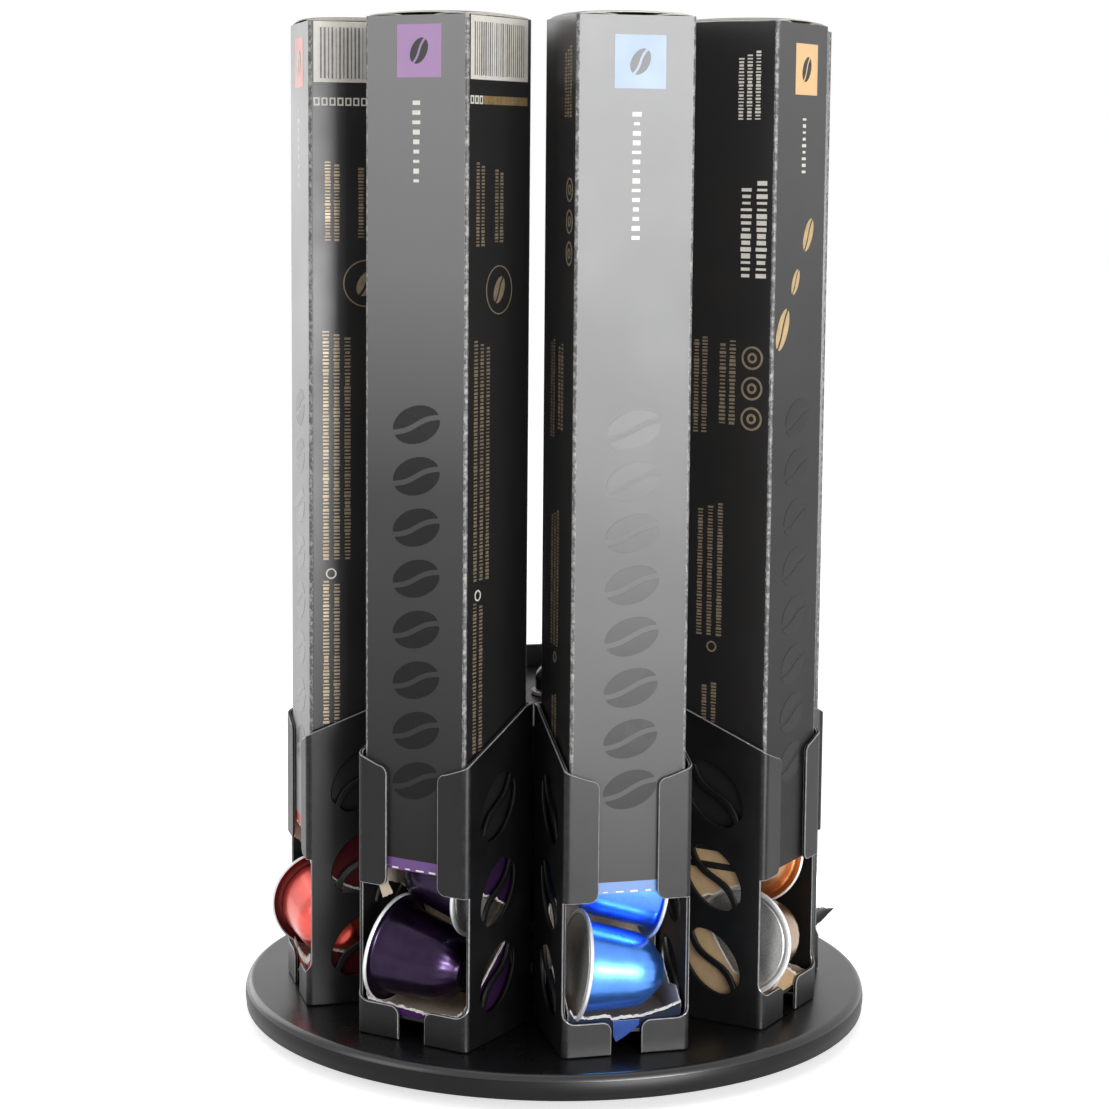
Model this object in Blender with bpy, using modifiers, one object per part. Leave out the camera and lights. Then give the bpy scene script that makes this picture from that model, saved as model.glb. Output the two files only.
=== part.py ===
"""A rotating coffee capsule dispenser: eight folded sheet bays on a turntable,
each for a carton of capsules that feeds a window at its foot. Bay 5 stands empty.

Metres, +Z up. The origin is where the spindle's axis meets the table.
Bay 1 faces -Y, and the others follow it towards +X.
A bay is drawn facing -Y: its width is X, its depth is -Y, its height is Z.
"""
import math

import bmesh
import bpy
from mathutils import Matrix, Vector

# Driving dimensions, in metres

BAY_COUNT = 8
FIT_GAP = 0.0003            # between two pieces that touch
CUT_OVERRUN = 0.004         # how far a cutter runs past what it cuts
MERGE_DISTANCE = 0.00001    # points nearer than this are one point

# Capsule
CAPSULE_HEIGHT = 0.0286
CAPSULE_RIM_RADIUS = 0.01825
CAPSULE_RIM_THICKNESS = 0.0012
CAPSULE_NECK_RADIUS = 0.0150
CAPSULE_SHOULDER_RADIUS = 0.0123
CAPSULE_SHOULDER_HEIGHT = 0.0195
CAPSULE_NOSE_RADIUS = 0.0060
CAPSULE_NOSE_DROP = 0.0032
CAPSULE_LID_RECESS = 0.0004
CAPSULE_TILT = math.radians(8)
CAPSULE_END_PLAY = 0.0005   # from the rim to the inside of the carton
CAPSULE_STACK_GAP = 0.0005
CAPSULE_LIP_GAP = 0.0004

# Carton
CARTON_SIDE = 0.0380
CARTON_HEIGHT = 0.3210
CARD = 0.0004
CARTON_WINDOW_HEIGHT = 0.0478
CARTON_SIDE_TEAR = 0.0300

# Bay
SHEET = 0.0012
BAY_FOLD_RADIUS = 0.0020
BAY_SIDE_PLAY = 0.0009
BAY_FRONT_PLAY = 0.0004
BAY_BACK_PLAY = 0.0005
BAY_NEIGHBOUR_GAP = 0.0005
BAY_FRONT_HEIGHT = 0.0926
BAY_BACK_RISE = 0.0140      # from the top of the front up to the top of the back
BAY_FLOOR_HEIGHT = 0.0078
BAY_FLOOR_SIDE_GAP = 0.0005
BAY_BACK_FLAT = 0.0035      # level part of the top edge at the back
UPPER_LIP_BOTTOM = 0.0500
UPPER_LIP_DROP = 0.0030     # how far the top of an upper lip falls towards the gap
FINGER_GAP_WIDTH = 0.0194
LOWER_LIP_HEIGHT = 0.0109
NOTCH_WIDTH = 0.0100
LIP_CORNER_RADIUS = 0.0030
WINDOW_CORNER_RADIUS = 0.0045
WINDOW_SETBACK = 0.0004     # from the inner face of the lips back to the cut edges of the walls

# Coffee bean cut-outs
BEAN_COUNT = 3
BEAN_LENGTH = 0.0250
BEAN_WIDTH = 0.0164
BEAN_SLIT = 0.0022
BEAN_WAVE = 0.0016
BEAN_SETBACK = 0.0188       # from the front of the bay
BEAN_FIRST_HEIGHT = 0.0203
BEAN_PITCH = 0.0282
BEAN_SLOPE = math.radians(-48)

# Bay foot and its screw
FOOT_FLANGE_LENGTH = 0.0140
FOOT_FLANGE_WIDTH = 0.0240
SCREW_RADIUS = 0.0020
SCREW_HEAD_RADIUS = 0.0040
SCREW_HEAD_HEIGHT = 0.0024
SCREW_HOLE_PLAY = 0.0004
SCREW_END_GAP = 0.0004

# Turntable disc
DISC_EDGE_MARGIN = 0.0167   # from the front of the bays to the edge
DISC_HEIGHT = 0.0084
DISC_WEB = 0.0040
DISC_RIM_WIDTH = 0.0080
DISC_ROUND = 0.0038
DISC_LOWER_ROUND = 0.0010

# Foot
PAD_HEIGHT = 0.0020
PAD_RADIUS = 0.0070
PAD_COUNT = 4
PAD_INSET = 0.0120          # from the edge of the foot plate to a pad's middle
FOOT_PLATE_THICKNESS = 0.0015
FOOT_PLATE_RIM_GAP = 0.0120 # from the disc's rim to the foot plate
DISC_LIFT = 0.0005          # from the top of the foot plate up to the disc's lower edge
GLIDE_RING_WIDTH = 0.0080
GLIDE_RING_INSET = 0.0060
GLIDE_RING_CHAMFER = 0.0006

# Spindle, its nuts and bushes
SPINDLE_RADIUS = 0.0040
SPINDLE_HEAD_RADIUS = 0.0100
SPINDLE_HEAD_HEIGHT = 0.0010
SPINDLE_NUT_WIDTH = 0.0130
SPINDLE_NUT_HEIGHT = 0.0036
SPINDLE_THREAD_LENGTH = 0.0060
BUSH_WALL = 0.0025
BUSH_FLANGE = 0.0020
BUSH_FLANGE_THICKNESS = 0.0012
CAP_NUT_RADIUS = 0.0075
CAP_NUT_HEIGHT = 0.0095
CAP_NUT_SKIRT = 0.0040

# Hub cap
HUB_CAP_RECESS = 0.0080
HUB_CAP_SKIRT = 0.0120
HUB_CAP_CLEARANCE = 0.0004

# Facets
ROUND_STEPS = 64
RING_STEPS = 40
CAPSULE_STEPS = 16
BUSH_STEPS = 16
SMALL_STEPS = 10
CORNER_STEPS = 2
FOLD_STEPS = 2
STACKING_PASSES = 6

# Worked out from the driving dimensions

half_step = math.pi / BAY_COUNT
bay_inner_half = CARTON_SIDE / 2 + BAY_SIDE_PLAY
bay_outer_half = bay_inner_half + SHEET
bay_fold_centre = bay_outer_half - BAY_FOLD_RADIUS
hub_apothem = ((BAY_FOLD_RADIUS + BAY_NEIGHBOUR_GAP / 2 + bay_fold_centre * math.cos(half_step))
               / math.sin(half_step) - BAY_FOLD_RADIUS)
bay_back_inside = hub_apothem + SHEET
carton_back = bay_back_inside + BAY_BACK_PLAY
carton_front = carton_back + CARTON_SIDE
carton_middle = (carton_back + carton_front) / 2
bay_front_inside = carton_front + BAY_FRONT_PLAY
bay_front = bay_front_inside + SHEET
bay_back_height = BAY_FRONT_HEIGHT + BAY_BACK_RISE

foot_plate_bottom = PAD_HEIGHT
foot_plate_top = foot_plate_bottom + FOOT_PLATE_THICKNESS
disc_bottom = foot_plate_top + DISC_LIFT
disc_top = disc_bottom + DISC_HEIGHT
disc_ceiling = disc_top - DISC_WEB
disc_radius = bay_front + DISC_EDGE_MARGIN
disc_rim_inside = disc_radius - DISC_RIM_WIDTH
foot_plate_radius = disc_rim_inside - FOOT_PLATE_RIM_GAP

bay_bottom = disc_top + FIT_GAP
bay_floor = bay_bottom + BAY_FLOOR_HEIGHT
carton_bottom = bay_floor + FIT_GAP
lip_top = bay_bottom + LOWER_LIP_HEIGHT
lip_middle = bay_front - SHEET / 2

hub_cap_top = bay_bottom + bay_back_height - HUB_CAP_RECESS
screw_distance = hub_apothem - FOOT_FLANGE_LENGTH / 2

# The lower capsule lies on its cone on the torn card, rolled forward to the lower lips.
rim_reach = (CAPSULE_RIM_RADIUS * math.sin(CAPSULE_TILT)
             + CAPSULE_RIM_THICKNESS * math.cos(CAPSULE_TILT))
capsule_side = CARTON_SIDE / 2 - CARD - CAPSULE_END_PLAY - rim_reach
lower_capsule_height = bay_floor + CARD + FIT_GAP + CAPSULE_RIM_RADIUS * math.cos(CAPSULE_TILT)
lip_reach = CAPSULE_RIM_RADIUS + SHEET / 2 + CAPSULE_LIP_GAP
lip_drop = lower_capsule_height - lip_top
lower_capsule_distance = lip_middle - math.sqrt(max(lip_reach ** 2 - lip_drop ** 2, 0))

# The upper capsule is turned round and lies on the lower one, their axes parallel.
capsule_profile = [
    (0, CAPSULE_HEIGHT), (CAPSULE_NOSE_RADIUS, CAPSULE_HEIGHT),
    ((CAPSULE_NOSE_RADIUS + CAPSULE_SHOULDER_RADIUS) / 2, CAPSULE_HEIGHT - CAPSULE_NOSE_DROP),
    (CAPSULE_SHOULDER_RADIUS, CAPSULE_SHOULDER_HEIGHT), (CAPSULE_NECK_RADIUS, CAPSULE_RIM_THICKNESS),
    (CAPSULE_RIM_RADIUS, CAPSULE_RIM_THICKNESS), (CAPSULE_RIM_RADIUS, 0), (CAPSULE_NECK_RADIUS, 0),
    (0, CAPSULE_LID_RECESS)]
capsule_offset = lower_capsule_distance - carton_middle
capsule_drop = 2 * capsule_side * math.tan(CAPSULE_TILT)


def capsule_radius(height):
    """Outer radius of a capsule at a height above its lid, and 0 past its ends."""
    reach = [0]
    for (first, high), (second, low) in zip(capsule_profile[1:6], capsule_profile[2:7]):
        if low <= height <= high:
            share = (high - height) / (high - low) if high > low else 0
            reach += [first + (second - first) * share, second if high == low else 0]
    return max(reach)


def axes_distance(rims_apart):
    """How close two parallel capsules that point at each other can lie."""
    heights = [height for _, height in capsule_profile]
    heights += [rims_apart - height for height in heights]
    sums = [capsule_radius(height) + capsule_radius(rims_apart - height)
            for height in heights if capsule_radius(height) and capsule_radius(rims_apart - height)]
    return max(sums) + CAPSULE_STACK_GAP


capsule_rise = 2 * CAPSULE_NECK_RADIUS
for _ in range(STACKING_PASSES):
    rims_apart = (2 * capsule_side * math.cos(CAPSULE_TILT)
                  - (capsule_rise - capsule_drop) * math.sin(CAPSULE_TILT))
    capsule_rise = (math.sqrt(max(axes_distance(rims_apart) ** 2 - capsule_offset ** 2, 0))
                    / math.cos(CAPSULE_TILT))
upper_capsule_height = lower_capsule_height - capsule_drop + capsule_rise


# Scene

for old in list(bpy.data.objects):
    bpy.data.objects.remove(old, do_unlink=True)

parts = bpy.data.collections.new("coffee_capsule_dispenser")
cutters = bpy.data.collections.new("cutters")
bpy.context.scene.collection.children.link(parts)
bpy.context.scene.collection.children.link(cutters)


def material(name, colour, roughness, metallic=0.0):
    made = bpy.data.materials.new(name)
    made.use_nodes = True
    shader = made.node_tree.nodes["Principled BSDF"]
    shader.inputs["Base Color"].default_value = (*colour, 1.0)
    shader.inputs["Roughness"].default_value = roughness
    shader.inputs["Metallic"].default_value = metallic
    return made


black_sheet = material("black_sheet", (0.022, 0.022, 0.024), 0.42, 0.2)
black_disc = material("black_disc", (0.030, 0.030, 0.032), 0.33, 0.1)
zinc_steel = material("zinc_steel", (0.55, 0.56, 0.58), 0.35, 1.0)
black_steel = material("black_steel", (0.03, 0.03, 0.03), 0.38, 0.6)
nylon = material("nylon", (0.80, 0.78, 0.72), 0.50)
rubber = material("rubber", (0.02, 0.02, 0.02), 0.80)
# A bay that isn't listed stands empty.
capsule_colours = {
    1: ("blue", (0.10, 0.27, 0.75)), 2: ("gold", (0.62, 0.36, 0.10)), 3: ("silver", (0.62, 0.63, 0.66)),
    4: ("green", (0.05, 0.28, 0.12)), 6: ("pearl", (0.72, 0.66, 0.56)), 7: ("red", (0.66, 0.05, 0.06)),
    8: ("violet", (0.14, 0.06, 0.24))}
capsule_foils = {number: material(f"capsule_{name}", colour, 0.30, 0.9)
                 for number, (name, colour) in capsule_colours.items()}
carton_boards = {number: material(f"carton_board_{number}", (0.20, 0.20, 0.21), 0.48)
                 for number in capsule_colours}


# Shapes

def place(thing, collection):
    collection.objects.link(thing)
    return thing


def mesh_object(name, shape, collection):
    data = bpy.data.meshes.new(name)
    shape.to_mesh(data)
    shape.free()
    return place(bpy.data.objects.new(name, data), collection)


def hide_cutter(thing):
    thing.hide_render = True
    thing.display_type = "WIRE"
    return thing


def arc(centre, radius, start, end, steps):
    """Points on an arc; angles in radians, anticlockwise from the first axis."""
    turns = [start + (end - start) * step / steps for step in range(steps + 1)]
    return [(centre[0] + radius * math.cos(turn), centre[1] + radius * math.sin(turn)) for turn in turns]


def prism(name, outline, depth, turn, collection):
    """A flat outline, filled and given a thickness of depth, then turned into place as a mesh."""
    curve = bpy.data.curves.new(name, "CURVE")
    curve.dimensions = "2D"
    curve.fill_mode = "BOTH"
    curve.extrude = depth / 2
    line = curve.splines.new("POLY")
    line.points.add(len(outline) - 1)
    for point, (across, up) in zip(line.points, outline):
        point.co = (across, up, 0, 1)
    line.use_cyclic_u = True
    drawn = place(bpy.data.objects.new(name, curve), collection)
    bpy.context.view_layer.update()
    data = bpy.data.meshes.new_from_object(drawn.evaluated_get(bpy.context.evaluated_depsgraph_get()))
    bpy.data.objects.remove(drawn, do_unlink=True)
    shape = bmesh.new()
    shape.from_mesh(data)
    bmesh.ops.remove_doubles(shape, verts=shape.verts, dist=MERGE_DISTANCE)
    bmesh.ops.transform(shape, matrix=turn, verts=shape.verts)
    bmesh.ops.recalc_face_normals(shape, faces=shape.faces)
    bpy.data.meshes.remove(data)
    return mesh_object(name, shape, collection)


def box(name, low, high, collection):
    shape = bmesh.new()
    bmesh.ops.create_cube(shape, size=1)
    size = Matrix.Diagonal([high[axis] - low[axis] for axis in range(3)] + [1])
    middle = Matrix.Translation([(high[axis] + low[axis]) / 2 for axis in range(3)])
    bmesh.ops.transform(shape, matrix=middle @ size, verts=shape.verts)
    return mesh_object(name, shape, collection)


def rod(name, radius, bottom, top, steps, collection, x=0, y=0):
    shape = bmesh.new()
    bmesh.ops.create_cone(shape, cap_ends=True, segments=steps, radius1=radius, radius2=radius,
                          depth=top - bottom)
    bmesh.ops.translate(shape, vec=(x, y, (top + bottom) / 2), verts=shape.verts)
    return mesh_object(name, shape, collection)


def turned(name, profile, steps, collection):
    """A turned piece: the profile is (radius, height) and runs down its outer side."""
    shape = bmesh.new()
    corners = [shape.verts.new((radius, 0, height)) for radius, height in profile]
    for first, second in zip(corners, corners[1:]):
        shape.edges.new((first, second))
    if profile[0][0] > 0 or profile[-1][0] > 0:
        shape.edges.new((corners[-1], corners[0]))
    thing = mesh_object(name, shape, collection)
    screw = thing.modifiers.new("turn", "SCREW")
    screw.steps = steps
    screw.render_steps = steps
    screw.use_merge_vertices = True
    screw.merge_threshold = MERGE_DISTANCE
    return thing


def boolean(thing, other, operation):
    change = thing.modifiers.new(operation.lower(), "BOOLEAN")
    change.operation = operation
    change.solver = "EXACT"
    change.object = other
    return thing


def settle(thing):
    """Applies the modifiers, so that copies can share the mesh."""
    bpy.context.view_layer.update()
    ready = thing.evaluated_get(bpy.context.evaluated_depsgraph_get())
    data = bpy.data.meshes.new_from_object(ready)
    thing.modifiers.clear()
    thing.data = data
    return thing


def finish(thing, look, angle=math.radians(35)):
    thing.data.materials.clear()
    thing.data.materials.append(look)
    thing.data.shade_smooth()
    thing.data.set_sharp_from_angle(angle=angle)
    return thing


def facing(number):
    """Turn of bay number about the spindle, bay 1 facing -Y."""
    return 2 * math.pi * (number - 1) / BAY_COUNT


def copy_round(model, name, number, local, parent):
    """A copy of the model at its place in bay number, as a child of an empty on its joint's axis."""
    piece = place(bpy.data.objects.new(f"{name}_{number}", model.data), parts)
    piece.parent = parent
    piece.matrix_local = Matrix.Rotation(facing(number), 4, "Z") @ Matrix.Translation(local)
    return piece


def empty(name, location):
    made = place(bpy.data.objects.new(name, None), parts)
    made.location = location
    return made


standing = empty("standing_frame", (0, 0, 0))
turning = empty("turning_frame", (0, 0, disc_top))


def hold(thing, parent):
    """Makes the piece a child of an empty without moving it."""
    thing.parent = parent
    thing.matrix_parent_inverse = Matrix.Translation(parent.location).inverted()
    return thing


# Foot

def make_foot():
    hole = SPINDLE_RADIUS + FIT_GAP
    plate = turned("foot_plate", [(hole, foot_plate_top), (foot_plate_radius, foot_plate_top),
                                  (foot_plate_radius, foot_plate_bottom), (hole, foot_plate_bottom)],
                   RING_STEPS, parts)
    hold(finish(plate, zinc_steel), standing)
    distance = foot_plate_radius - PAD_INSET
    for number in range(1, PAD_COUNT + 1):
        turn = 2 * math.pi * (number - 0.5) / PAD_COUNT
        pad = rod(f"foot_pad_{number}", PAD_RADIUS, 0, PAD_HEIGHT - FIT_GAP, SMALL_STEPS, parts,
                  distance * math.cos(turn), distance * math.sin(turn))
        hold(finish(pad, rubber), standing)


def make_glide_ring():
    outside = foot_plate_radius - GLIDE_RING_INSET
    inside = outside - GLIDE_RING_WIDTH
    low = foot_plate_top + FIT_GAP
    high = disc_ceiling - FIT_GAP
    cut = GLIDE_RING_CHAMFER
    profile = [(inside, high - cut), (inside + cut, high), (outside - cut, high), (outside, high - cut),
               (outside, low), (inside, low)]
    hold(finish(turned("glide_ring", profile, RING_STEPS, parts), nylon), standing)


def make_spindle():
    head_bottom = foot_plate_bottom - FIT_GAP - SPINDLE_HEAD_HEIGHT
    top = hub_cap_top + BUSH_FLANGE_THICKNESS + FIT_GAP + SPINDLE_THREAD_LENGTH
    profile = [(0, top), (SPINDLE_RADIUS, top), (SPINDLE_RADIUS, head_bottom + SPINDLE_HEAD_HEIGHT),
               (SPINDLE_HEAD_RADIUS, head_bottom + SPINDLE_HEAD_HEIGHT), (SPINDLE_HEAD_RADIUS, head_bottom),
               (0, head_bottom)]
    hold(finish(turned("spindle", profile, BUSH_STEPS, parts), zinc_steel), standing)

    nut_bottom = foot_plate_top + FIT_GAP
    nut_radius = SPINDLE_NUT_WIDTH / 2 / math.cos(math.pi / 6)
    nut = rod("spindle_nut", nut_radius, nut_bottom, nut_bottom + SPINDLE_NUT_HEIGHT, 6, parts)
    bore = hide_cutter(rod("nut_bore", SPINDLE_RADIUS + FIT_GAP, nut_bottom - CUT_OVERRUN,
                           nut_bottom + SPINDLE_NUT_HEIGHT + CUT_OVERRUN, BUSH_STEPS, cutters))
    hold(finish(boolean(nut, bore, "DIFFERENCE"), zinc_steel), standing)

    low = hub_cap_top + BUSH_FLANGE_THICKNESS + 2 * FIT_GAP
    bore_radius = SPINDLE_RADIUS + FIT_GAP
    bore_top = top + FIT_GAP
    crown = [(0, low + CAP_NUT_HEIGHT)]
    for step in range(CORNER_STEPS, -1, -1):
        turn = math.pi / 2 * step / (CORNER_STEPS + 1)
        crown.append((CAP_NUT_RADIUS * math.cos(turn),
                      low + CAP_NUT_SKIRT + (CAP_NUT_HEIGHT - CAP_NUT_SKIRT) * math.sin(turn)))
    profile = crown + [(CAP_NUT_RADIUS, low), (bore_radius, low), (bore_radius, bore_top), (0, bore_top)]
    hold(finish(turned("spindle_cap_nut", profile, BUSH_STEPS, parts), black_steel), standing)


# Turntable

def make_bush(name, seat_top, seat_thickness):
    """A flanged bush that hangs in a hole from its flange."""
    inside = SPINDLE_RADIUS + FIT_GAP
    outside = inside + BUSH_WALL
    flange = outside + BUSH_FLANGE
    low = seat_top + FIT_GAP
    profile = [(inside, low + BUSH_FLANGE_THICKNESS), (flange, low + BUSH_FLANGE_THICKNESS), (flange, low),
               (outside, low), (outside, seat_top - seat_thickness), (inside, seat_top - seat_thickness)]
    hold(finish(turned(name, profile, BUSH_STEPS, parts), nylon), turning)


def make_disc():
    hole = SPINDLE_RADIUS + FIT_GAP + BUSH_WALL + FIT_GAP
    shoulder = arc((disc_radius - DISC_ROUND, disc_top - DISC_ROUND), DISC_ROUND, math.pi / 2, 0,
                   CORNER_STEPS + 2)
    lower = [(disc_radius, disc_bottom + DISC_LOWER_ROUND), (disc_radius - DISC_LOWER_ROUND, disc_bottom)]
    profile = ([(hole, disc_top)] + shoulder + lower
               + [(disc_rim_inside, disc_bottom), (disc_rim_inside, disc_ceiling), (hole, disc_ceiling)])
    disc = turned("turntable_disc", profile, ROUND_STEPS, parts)
    shape = bmesh.new()
    for number in range(1, BAY_COUNT + 1):
        turn = facing(number)
        place_at = Matrix.Translation((screw_distance * math.sin(turn), -screw_distance * math.cos(turn),
                                       disc_top - DISC_WEB / 2))
        bmesh.ops.create_cone(shape, cap_ends=True, segments=SMALL_STEPS,
                              radius1=SCREW_RADIUS + SCREW_HOLE_PLAY, radius2=SCREW_RADIUS + SCREW_HOLE_PLAY,
                              depth=DISC_WEB + 2 * CUT_OVERRUN, matrix=place_at)
    holes = hide_cutter(mesh_object("disc_screw_holes", shape, cutters))
    hold(finish(boolean(disc, holes, "DIFFERENCE"), black_disc), turning)


def bean_halves():
    """The two halves of a bean, split by a waved strip, as outlines along and across the bean."""
    long_half = BEAN_LENGTH / 2
    wide_half = BEAN_WIDTH / 2
    rim_shares = (-0.96, -0.62, 0.0, 0.62, 0.96)
    slit_shares = (0.5, 0.0, -0.5)
    halves = []
    for side in (1, -1):
        rim = [(long_half * share, side * wide_half * math.sqrt(1 - share ** 2)) for share in rim_shares]
        slit = [(long_half * share, BEAN_WAVE * math.sin(math.pi * share) + side * BEAN_SLIT / 2)
                for share in (rim_shares[-1],) + slit_shares + (rim_shares[0],)]
        halves.append(rim + slit)
    return halves


def make_bean_cutter(width):
    """All beans of a bay, as prisms that run through both of its walls."""
    shape = bmesh.new()
    for number in range(BEAN_COUNT):
        height = BEAN_FIRST_HEIGHT + BEAN_PITCH * number
        distance = bay_front - BEAN_SETBACK
        for half in bean_halves():
            cosine = math.cos(BEAN_SLOPE)
            sine = math.sin(BEAN_SLOPE)
            outline = [(distance + along * cosine - across * sine, height + along * sine + across * cosine)
                       for along, across in half]
            one = prism("bean_half", outline, width, depth_turn, cutters)
            shape.from_mesh(one.data)
            bpy.data.objects.remove(one, do_unlink=True)
    return hide_cutter(mesh_object("bean_cutter", shape, cutters))


# A front outline is drawn as (X, Z) and a side outline as (distance from the spindle, Z).
front_turn = Matrix.Rotation(math.pi / 2, 4, "X")
depth_turn = Matrix.Rotation(-math.pi / 2, 4, "Z") @ Matrix.Rotation(math.pi / 2, 4, "X")


def front_opening():
    """Half the outline of all that is cut from a bay's front: notch, window, finger gap and slanted tops."""
    notch = NOTCH_WIDTH / 2
    gap = FINGER_GAP_WIDTH / 2
    corner = LIP_CORNER_RADIUS
    side = bay_outer_half + CUT_OVERRUN
    inner_top = BAY_FRONT_HEIGHT - UPPER_LIP_DROP
    slope = UPPER_LIP_DROP / (bay_outer_half - gap - corner)
    outer_top = inner_top + slope * (side - gap - corner)
    window_corner = WINDOW_CORNER_RADIUS
    points = [(notch, -CUT_OVERRUN)]
    points += arc((notch + corner, LOWER_LIP_HEIGHT - corner), corner, math.pi, math.pi / 2, CORNER_STEPS)
    points += arc((bay_outer_half - window_corner, LOWER_LIP_HEIGHT + window_corner), window_corner,
                  -math.pi / 2, 0, CORNER_STEPS)
    points += [(side, LOWER_LIP_HEIGHT + window_corner), (side, UPPER_LIP_BOTTOM)]
    points += arc((gap + corner, UPPER_LIP_BOTTOM + corner), corner, -math.pi / 2, -math.pi, CORNER_STEPS)
    points += arc((gap + corner, inner_top - corner), corner, math.pi, math.pi / 2, CORNER_STEPS)
    points += [(side, outer_top), (side, bay_back_height + CUT_OVERRUN)]
    return points


def make_bay_model():
    """A bay is one folded sheet: a closed loop whose front is cut open, with a floor and a foot flange."""
    mid = SHEET / 2
    radius = BAY_FOLD_RADIUS - mid
    half = bay_outer_half - mid
    near = hub_apothem + mid
    far = bay_front - mid
    loop = []
    corners = (((half - radius, far - radius), 0), ((-half + radius, far - radius), math.pi / 2),
               ((-half + radius, near + radius), math.pi), ((half - radius, near + radius), 3 * math.pi / 2))
    for centre, start in corners:
        loop += arc(centre, radius, start, start + math.pi / 2, FOLD_STEPS)
    shape = bmesh.new()
    ring = [shape.verts.new((across, -distance, 0)) for across, distance in loop]
    edges = [shape.edges.new((ring[index], ring[(index + 1) % len(ring)])) for index in range(len(ring))]
    raised = bmesh.ops.extrude_edge_only(shape, edges=edges)["geom"]
    bmesh.ops.translate(shape, vec=(0, 0, bay_back_height),
                        verts=[item for item in raised if isinstance(item, bmesh.types.BMVert)])
    bmesh.ops.recalc_face_normals(shape, faces=shape.faces)
    bay = mesh_object("bay_model", shape, parts)
    fold = bay.modifiers.new("sheet", "SOLIDIFY")
    fold.thickness = SHEET
    fold.offset = 0
    fold.use_even_offset = True
    settle(bay)

    half_outline = front_opening()
    outline = half_outline + [(-across, up) for across, up in reversed(half_outline)]
    front_depth = WINDOW_SETBACK + SHEET + CUT_OVERRUN
    front_cut = prism("front_cutter", outline, front_depth, front_turn, cutters)
    front_cut.data.transform(Matrix.Translation((0, -(bay_front + CUT_OVERRUN - front_depth / 2), 0)))
    boolean(bay, hide_cutter(front_cut), "DIFFERENCE")

    flat_end = bay_back_inside + BAY_BACK_FLAT
    high = bay_back_height + CUT_OVERRUN
    top_line = [(flat_end, bay_back_height), (bay_front, BAY_FRONT_HEIGHT),
                (bay_front + CUT_OVERRUN, BAY_FRONT_HEIGHT), (bay_front + CUT_OVERRUN, high), (flat_end, high)]
    top_cut = prism("top_cutter", top_line, 2 * (bay_outer_half + CUT_OVERRUN), depth_turn, cutters)
    boolean(bay, hide_cutter(top_cut), "DIFFERENCE")
    boolean(bay, make_bean_cutter(2 * (bay_outer_half + CUT_OVERRUN)), "DIFFERENCE")

    floor_half = bay_inner_half - BAY_FLOOR_SIDE_GAP
    floor = box("bay_floor_shape", (-floor_half, -carton_front, BAY_FLOOR_HEIGHT - SHEET),
                (floor_half, -(hub_apothem + mid), BAY_FLOOR_HEIGHT), cutters)
    boolean(bay, hide_cutter(floor), "UNION")
    flange_half = FOOT_FLANGE_WIDTH / 2
    flange = box("foot_flange_shape", (-flange_half, -(hub_apothem + mid), 0),
                 (flange_half, -(hub_apothem - FOOT_FLANGE_LENGTH), SHEET), cutters)
    boolean(bay, hide_cutter(flange), "UNION")
    hole = rod("flange_hole", SCREW_RADIUS + SCREW_HOLE_PLAY, -CUT_OVERRUN, SHEET + CUT_OVERRUN, SMALL_STEPS,
               cutters, 0, -screw_distance)
    boolean(bay, hide_cutter(hole), "DIFFERENCE")
    settle(bay)
    finish(bay, black_sheet)
    return bay


def make_screw_model():
    seat = SHEET + FIT_GAP
    end = -(DISC_WEB + FIT_GAP) + SCREW_END_GAP
    edge = SCREW_HEAD_HEIGHT / 2
    profile = [(0, seat + SCREW_HEAD_HEIGHT), (SCREW_HEAD_RADIUS - edge, seat + SCREW_HEAD_HEIGHT),
               (SCREW_HEAD_RADIUS, seat + edge), (SCREW_HEAD_RADIUS, seat), (SCREW_RADIUS, seat),
               (SCREW_RADIUS, end), (0, end)]
    return finish(settle(turned("screw_model", profile, SMALL_STEPS, parts)), zinc_steel)


def make_hub_cap():
    """An eight-sided tray turned upside down, between the backs of the bays."""
    radius = (hub_apothem - HUB_CAP_CLEARANCE) / math.cos(half_step)
    shape = bmesh.new()
    bmesh.ops.create_cone(shape, cap_ends=True, segments=BAY_COUNT, radius1=radius, radius2=radius,
                          depth=HUB_CAP_SKIRT)
    lowest = min(shape.faces, key=lambda face: face.calc_center_median().z)
    bmesh.ops.delete(shape, geom=[lowest], context="FACES_ONLY")
    bmesh.ops.rotate(shape, cent=(0, 0, 0), matrix=Matrix.Rotation(half_step - math.pi, 3, "Z"),
                     verts=shape.verts)
    bmesh.ops.translate(shape, vec=(0, 0, hub_cap_top - HUB_CAP_SKIRT / 2), verts=shape.verts)
    cap = mesh_object("hub_cap", shape, parts)
    wall = cap.modifiers.new("sheet", "SOLIDIFY")
    wall.thickness = SHEET
    wall.offset = -1
    wall.use_even_offset = True
    hole = rod("hub_cap_hole", SPINDLE_RADIUS + FIT_GAP + BUSH_WALL + FIT_GAP, hub_cap_top - HUB_CAP_SKIRT,
               hub_cap_top + CUT_OVERRUN, BUSH_STEPS, cutters)
    hold(finish(boolean(cap, hide_cutter(hole), "DIFFERENCE"), black_sheet), turning)


# Cartons and capsules

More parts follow.
